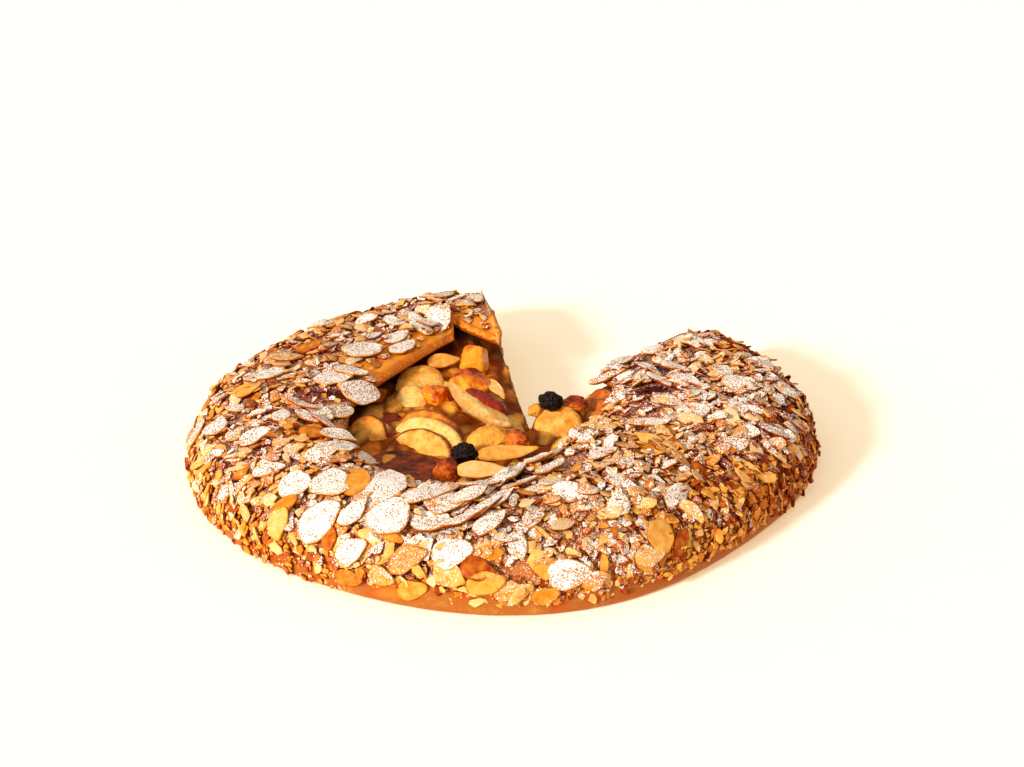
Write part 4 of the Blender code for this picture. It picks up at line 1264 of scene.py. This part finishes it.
def fruit_lump(name, centre, radii, turn, relief, size, burnt, seed):
    """A soft lump: a caramelised piece of apple, a sultana or a crumpled raisin."""
    shape = bmesh.new()
    bmesh.ops.create_icosphere(shape, subdivisions=LUMP_SUBDIVISIONS, radius=1.0)
    unit = np.array([vert.co[:] for vert in shape.verts])
    faces = [[vert.index for vert in face.verts] for face in shape.faces]
    shape.free()
    dried = name.startswith(("raisin", "sultana"))
    if not dried:
        unit = cut_flats(unit, seed)
    points = unit * np.array(radii)
    soft = lumps(points, size, seed)
    folds = np.abs(lumps(points * np.array([0.6, 1.0, 1.2]), 0.8 * size, seed + 1))
    creased = (0.30 - folds).clip(0.0) / 0.30
    if dried:
        height = relief * (0.7 * soft - 0.55 * creased + 0.2)
    else:
        height = relief * (soft + 0.25 * lumps(points, 0.3 * size, seed + 2))
    points = points + unit * height[:, None]
    place = Matrix.Translation(Vector(centre) + MIDDLE_SHIFT) @ Matrix.Rotation(math.radians(turn), 4, "Z")
    piece = Piece()
    placed = [place @ Vector(point) for point in points]
    topped = unit @ np.array([0.30, 0.40, 0.55])
    burnt = burnt + 0.5 * topped + 0.35 * lumps(points, 0.005, seed + 2)
    # The creases also carry painted shade, through the fold weight
    piece.add(placed, faces, burnt=burnt, fold=creased)
    if name.startswith("raisin"):
        piece.finish(name + "_skin", RAISIN_PAINT, "raisin", [name])
    elif name.startswith("sultana"):
        piece.finish(name + "_skin", SULTANA_PAINT, "sultana", [name])
    else:
        paint = GOLDEN_PAINT if name in ("golden_apple", "apple_nib") else CARAMEL_PAINT
        piece.finish(name + "_flesh", paint, "caramel_apple", [name])


def loose_flake(name, centre, half_length, half_width, turn, tilt, sugar, toast, draw):
    """An almond flake that lies in the opening."""
    flake = Flake(2.0 * half_length, 2.0 * half_width, LOOSE_THICKNESS, draw, LOOSE_SIDES, fine=True)
    place = Matrix.Translation(Vector(centre) + MIDDLE_SHIFT) @ Matrix.Rotation(math.radians(turn), 4, "Z")
    place = place @ Matrix.Rotation(math.radians(tilt), 4, "X")
    piece = Piece()
    placed = [place @ Vector(point) for point in flake.points]
    piece.add(placed, flake.faces, rim=flake.rims, sugar=sugar, toast=toast)
    piece.finish(name + "_slice", ALMOND_PAINT, "toasted_almond", [name], sharp=FLAKE_EDGE)


# Pools of syrup: middle, radius, level in metres
SYRUP_POOLS = (
    (-0.0410, -0.0505, 0.0195, 0.0188), (0.0135, -0.0280, 0.0125, 0.0166),
    (-0.0520, -0.0080, 0.0100, 0.0200),
)
# Section of a pool from its middle to its edge: share of the radius, height over its level
SYRUP_SECTION = ((0.3, 0.0), (0.6, 0.0), (0.85, 0.0001), (1.0, 0.0006), (1.02, -0.002))
SYRUP_DEPTH = 0.002
SYRUP_SIDES = 40


def syrup():
    """Dark glaze that has run into the hollows, as thin lenses with a level top."""
    piece = Piece()
    turns = np.arange(SYRUP_SIDES) * math.tau / SYRUP_SIDES
    for number, (x, y, radius, level) in enumerate(SYRUP_POOLS):
        rings = [np.array([[x, y, level]])]
        for share, height in SYRUP_SECTION:
            edge = share * radius * (1.0 + 0.10 * np.cos(3 * turns + number))
            ring = np.stack([x + edge * np.cos(turns), y + edge * np.sin(turns)], axis=1)
            rings.append(np.column_stack([ring, np.full(SYRUP_SIDES, level + height)]))
        rings.append(np.array([[x, y, level - SYRUP_DEPTH]]))
        points = np.concatenate(rings) + np.array(MIDDLE_SHIFT)
        points[:, 2] += 0.0002 * lumps(points, 0.004, 31)
        piece.add(points, ringed_faces(len(rings), SYRUP_SIDES))
    piece.finish("syrup", SYRUP_PAINT, "caramel_apple")


SUGAR_WHITE = (0.94, 0.86, 0.79)


def icing_sugar(paint, amount, bare_colour):
    """Colour with icing sugar over it, a thin veil or a thick coat with specks, and where the sugar is."""
    level = amount * paint.rise(paint.up(), 0.0, 0.55)
    level = level * (0.45 + paint.noise(0.0045, detail=3.0) * 1.1)
    grain = paint.noise(0.0006, detail=1.5, roughness=0.6, place=paint.stretched(1.0, 0.65, 1.0))
    edge = 0.65 - level * 0.25
    width = 0.11 - level.smaller(1.0) * 0.075
    mask = paint.rise(grain, edge - width, edge + width) * paint.rise(level, 0.02, 0.16)
    # Under a thick coat the specks are darker: partly damp sugar, partly painted shade in the pits
    damp_and_shaded = paint.mix(0.65, bare_colour, (0.26, 0.085, 0.026))
    under = paint.mix(paint.rise(level, 0.42, 0.62), bare_colour, damp_and_shaded)
    return paint.mix(mask, under, SUGAR_WHITE), mask


def almond_paint():
    """Almond, paler or browner as it is toasted, with a dark skin at the rim and painted shade beneath,
    under icing sugar.
    """
    paint = Paint("toasted almond", Roughness=0.5, Specular_IOR_Level=0.08)
    rim = paint.weight("rim")
    mottle = paint.noise(0.0028, detail=3.0) - 0.5
    toast = paint.weight("toast") + mottle * 0.7 + paint.rise(rim, 0.86, 1.0) * 0.16
    colour = paint.ramp(
        toast, (0.0, (0.86, 0.54, 0.23)), (0.25, (0.82, 0.41, 0.080)), (0.5, (0.69, 0.24, 0.018)),
        (0.8, (0.38, 0.060, 0.004)), (1.0, (0.15, 0.012, 0.001)))
    # Darker lower side and underside: the almond's skin at the side, and painted shade beneath the flake
    colour = paint.mix(paint.rise(rim, 1.01, 1.12) * 0.9, colour, (0.19, 0.014, 0.001))
    amount = paint.weight("sugar") * (1.0 - paint.rise(rim, 0.90, 0.99) * 0.8)
    colour, mask = icing_sugar(paint, amount, colour)
    fibre = paint.noise(0.0006, detail=2.0)
    bump = paint.bump(mask * 0.6 + fibre * 0.4, 0.00025)
    return paint.finish(Base_Color=colour, Normal=bump, Roughness=0.45 + mask * 0.5)


def pastry_paint():
    """Baked crust with painted shade in creases and under almonds, golden where bare, with pale dough where
    cut.
    """
    paint = Paint("baked pastry", Roughness=0.5, Specular_IOR_Level=0.12, Coat_Weight=0.1,
                  Coat_Roughness=0.15)
    # Painted shade in the creases and at the dark bare spots; the noise is the crust's own baked tone
    crease = paint.weight("crease")
    bake_and_shade = paint.noise(0.014, detail=4.0, roughness=0.6) * 0.7 + paint.weight("lump") * 0.12 + 0.10
    bake_and_shade = bake_and_shade + crease * 0.45 + (paint.noise(0.0022, detail=3.0) - 0.5) * 0.30
    # Painted shade under and beside the almonds
    bake_and_shade = bake_and_shade + paint.weight("cover") * 0.32
    crust = paint.ramp(
        bake_and_shade, (0.20, (0.56, 0.24, 0.035)), (0.42, (0.37, 0.11, 0.012)), (0.62, (0.42, 0.072, 0.004)),
        (0.80, (0.23, 0.018, 0.001)), (1.0, (0.06, 0.005, 0.001)))
    # Painted light: the bare strip in bright orange. Painted shade: the darker fold's front face below it
    bright = paint.weight("bright")
    strip = paint.mix(paint.noise(0.006, detail=3.0), (0.98, 0.38, 0.030), (0.92, 0.26, 0.012))
    below = paint.mix(paint.noise(0.004, detail=3.0), (0.90, 0.27, 0.016), (0.52, 0.09, 0.005))
    strip_lit_and_shaded = paint.mix(paint.rise(bright, 0.55, 0.85), strip, below)
    crust = paint.mix(paint.rise(bright, 0.0, 0.4) * 0.9, crust, strip_lit_and_shaded)
    sugared, mask = icing_sugar(paint, 0.30 * paint.weight("dusting"), crust)
    cut = paint.weight("cut")
    flaky = paint.noise(0.0016, detail=3.0, place=paint.stretched(1.0, 1.0, 3.0))
    dough = paint.mix(paint.rise(flaky, 0.35, 0.65), (0.56, 0.33, 0.12), (0.76, 0.58, 0.32))
    dough = paint.mix(paint.rise(paint.weight("depth"), 0.02, 0.16), (0.36, 0.12, 0.02), dough)
    colour = paint.mix(paint.rise(cut, 0.5, 0.6), sugared, dough)
    height = paint.noise(0.0009, detail=3.0) * 0.5 + mask * 0.5
    bump = paint.bump(height, 0.0003)
    return paint.finish(Base_Color=colour, Normal=bump, Roughness=0.38 + mask * 0.5 + cut * 0.3)


def filling_paint():
    """Cooked apple: pale flesh where cut, golden brown on top, with painted shade in the gaps and under the
    flap.
    """
    paint = Paint("cooked apple filling", Roughness=0.45, Specular_IOR_Level=0.05, Coat_Weight=0.06,
                  Coat_Roughness=0.1)
    gap = paint.rise(paint.weight("gap"), 0.50, 1.0)
    tone = paint.weight("tone") * 0.6 + paint.noise(0.004, detail=3.0) * 0.5
    flesh = paint.ramp(
        tone, (0.2, (0.62, 0.34, 0.07)), (0.5, (0.74, 0.46, 0.13)), (0.8, (0.80, 0.58, 0.24)))
    top = paint.ramp(
        tone, (0.2, (0.50, 0.10, 0.005)), (0.5, (0.84, 0.27, 0.018)), (0.8, (0.94, 0.48, 0.075)))
    colour = paint.mix(paint.weight("cut"), top, flesh)
    # Painted shade in the gaps between the pieces of apple
    painted_gap_shade = paint.mix(paint.weight("cut"), (0.17, 0.014, 0.001), (0.28, 0.10, 0.018))
    colour = paint.mix(gap * 0.88, colour, painted_gap_shade)
    # Painted shade under the folded flap
    colour = paint.mix(paint.weight("under") * 0.92, colour, (0.060, 0.005, 0.001))
    bump = paint.bump(paint.noise(0.0014, detail=3.0), 0.0009)
    return paint.finish(Base_Color=colour, Normal=bump)


def apple_paint():
    """Moist apple flesh with browned specks and a dark upper rim, partly burnt and partly painted shade."""
    paint = Paint("apple slice", Roughness=0.4, Specular_IOR_Level=0.1, Coat_Weight=0.3,
                  Coat_Roughness=0.15, Subsurface_Weight=0.2,
                  Subsurface_Radius=(0.004, 0.002, 0.0008), Subsurface_Scale=1.0)
    golden = paint.weight("golden") + (paint.noise(0.0045, detail=3.0) - 0.5) * 1.4
    flesh = paint.ramp(
        golden, (0.0, (0.90, 0.60, 0.20)), (0.35, (0.88, 0.44, 0.075)), (0.65, (0.76, 0.24, 0.014)),
        (1.0, (0.42, 0.07, 0.004)))
    specks = paint.rise(paint.noise(0.0020, detail=3.0), 0.54, 0.68) * 0.6
    flesh = paint.mix(specks, flesh, (0.70, 0.22, 0.014))
    # The dark upper rim: partly burnt skin, partly painted shade
    rim = paint.weight("rim") + (paint.noise(0.003) - 0.5) * 0.12
    burnt = paint.rise(rim, 0.84, 0.96) * paint.weight("browned")
    colour = paint.mix(burnt, flesh, (0.17, 0.018, 0.002))
    bump = paint.bump(paint.noise(0.0012, detail=3.0), 0.0005)
    return paint.finish(Base_Color=colour, Normal=bump)


def caramel_paint(name, pale, middle, dark):
    """Glossy fruit, from pale to dark as it is burnt, with painted shade in its folds."""
    paint = Paint(name, Roughness=0.35, Specular_IOR_Level=0.1, Coat_Weight=0.3, Coat_Roughness=0.05,
                  Subsurface_Weight=0.2, Subsurface_Radius=(0.004, 0.0015, 0.0005), Subsurface_Scale=1.0)
    burnt = paint.weight("burnt") + (paint.noise(0.0030, detail=4.0) - 0.5) * 0.8
    # Painted shade in the folds
    burnt = burnt + paint.weight("fold") * 0.15
    colour = paint.ramp(burnt, (0.05, pale), (0.35, middle), (0.65, dark))
    bump = paint.bump(paint.noise(0.0016, detail=1.0), 0.0007)
    return paint.finish(Base_Color=colour, Normal=bump)


def raisin_paint():
    """Nearly black, wrinkled skin."""
    paint = Paint("raisin skin", Roughness=0.3, Specular_IOR_Level=0.15)
    colour = paint.mix(paint.noise(0.0015, detail=2.0), (0.003, 0.002, 0.002), (0.016, 0.006, 0.005))
    bump = paint.bump(paint.noise(0.0009, detail=2.0), 0.0008)
    return paint.finish(Base_Color=colour, Normal=bump)


def syrup_paint():
    """Dark red-brown glaze."""
    paint = Paint("syrup", Roughness=0.3, Specular_IOR_Level=0.1, Coat_Weight=0.2, Coat_Roughness=0.05)
    streaks = paint.rise(paint.noise(0.006), 0.35, 0.65)
    colour = paint.mix(streaks, (0.11, 0.005, 0.0005), (0.32, 0.038, 0.002))
    bump = paint.bump(paint.noise(0.0040, detail=1.0), 0.0035)
    return paint.finish(Base_Color=colour, Normal=bump)


# The floor's size, colour and glow, the key light like a soft sun, and the room's light
FLOOR_SIZE = 14.0
FLOOR_WHITE = (0.94, 0.92, 0.89)
FLOOR_MOTTLE = 0.98
FLOOR_GLOW = (0.41, 0.30, 0.14)
KEY_DIRECTION = Vector((-0.69, -0.70, 0.43)).normalized()
KEY_STRENGTH = 3.6
KEY_COLOUR = (1.0, 0.965, 0.93)
KEY_SOFTNESS = 9.0
ROOM_COLOUR = (1.0, 0.88, 0.74)
ROOM_STRENGTH = 0.70
ROOM_SLOPE = 0.42


def floor_and_lights():
    """A pale floor, one soft key light from the left, and the room's light."""
    bpy.ops.mesh.primitive_plane_add(size=FLOOR_SIZE)
    floor = bpy.context.object
    floor.name = "floor"
    paint = Paint("pale floor", Roughness=0.9, Emission_Color=(*FLOOR_GLOW, 1.0), Emission_Strength=1.0)
    darker = tuple(FLOOR_MOTTLE * part for part in FLOOR_WHITE)
    colour = paint.mix(paint.noise(0.02, detail=4.0), FLOOR_WHITE, darker)
    floor.data.materials.append(paint.finish(Base_Color=colour))
    key = bpy.data.lights.new("key", "SUN")
    key.energy = KEY_STRENGTH
    key.angle = math.radians(KEY_SOFTNESS)
    key.color = KEY_COLOUR
    lamp = bpy.data.objects.new("key", key)
    lamp.rotation_euler = KEY_DIRECTION.to_track_quat("Z", "Y").to_euler()
    bpy.context.scene.collection.objects.link(lamp)
    room()


def room():
    """Soft light from all round, brighter from the key's side."""
    world = bpy.data.worlds.new("studio")
    world.use_nodes = True
    sky = NodeTree(world.node_tree, "Background")
    sky.set_constants(Color=(*ROOM_COLOUR, 1.0))
    place = sky.node("ShaderNodeTexCoord", {}, {}, "Generated")
    sockets = {0: place, 1: (KEY_DIRECTION.x, KEY_DIRECTION.y, 0.0)}
    toward_key = sky.node("ShaderNodeVectorMath", {"operation": "DOT_PRODUCT"}, sockets, "Value")
    sky.connect(Strength=toward_key * ROOM_SLOPE + ROOM_STRENGTH)
    bpy.context.scene.world = world


def camera():
    """A camera at the photo's angle, with the photo's frame."""
    data = bpy.data.cameras.new("camera")
    data.sensor_width = SENSOR
    data.lens = FOCAL_PIXELS * SENSOR / FRAME_WIDTH
    item = bpy.data.objects.new("camera", data)
    right, up, forward = camera_axes()
    turn = Matrix((right, up, -forward)).transposed().to_4x4()
    item.matrix_world = Matrix.Translation(camera_place()) @ turn
    bpy.context.scene.collection.objects.link(item)
    bpy.context.scene.camera = item


camera()
floor_and_lights()
skin = Skin()
pile = Pile(skin)
ALMOND_PAINT = almond_paint()
APPLE_PAINT = apple_paint()
CARAMEL_PAINT = caramel_paint(
    "caramelised apple", (0.94, 0.34, 0.014), (0.76, 0.14, 0.003), (0.22, 0.010, 0.001))
GOLDEN_PAINT = caramel_paint("golden apple", (0.86, 0.38, 0.045), (0.76, 0.26, 0.018), (0.60, 0.14, 0.008))
SULTANA_PAINT = caramel_paint("sultana", (0.66, 0.15, 0.008), (0.40, 0.05, 0.003), (0.14, 0.012, 0.001))
RAISIN_PAINT = raisin_paint()
SYRUP_PAINT = syrup_paint()
lay_almonds(skin, pile)
build_crust(skin, pile)
lay_chopped(skin, pile)
build_filling()
for number, values in enumerate(APPLE_SLICES):
    apple_slice(f"apple_slice_{number + 1}", *values, seed=40 + 5 * number)
for number, (name, values) in enumerate(FRUIT_LUMPS.items()):
    fruit_lump(name, *values, seed=110 + 3 * number)
flake_draw = random.Random(TOPPING_SEED + 5)
for name, values in LOOSE_FLAKES.items():
    loose_flake(name, *values, draw=flake_draw)
syrup()
bpy.context.scene.view_settings.view_transform = "Standard"
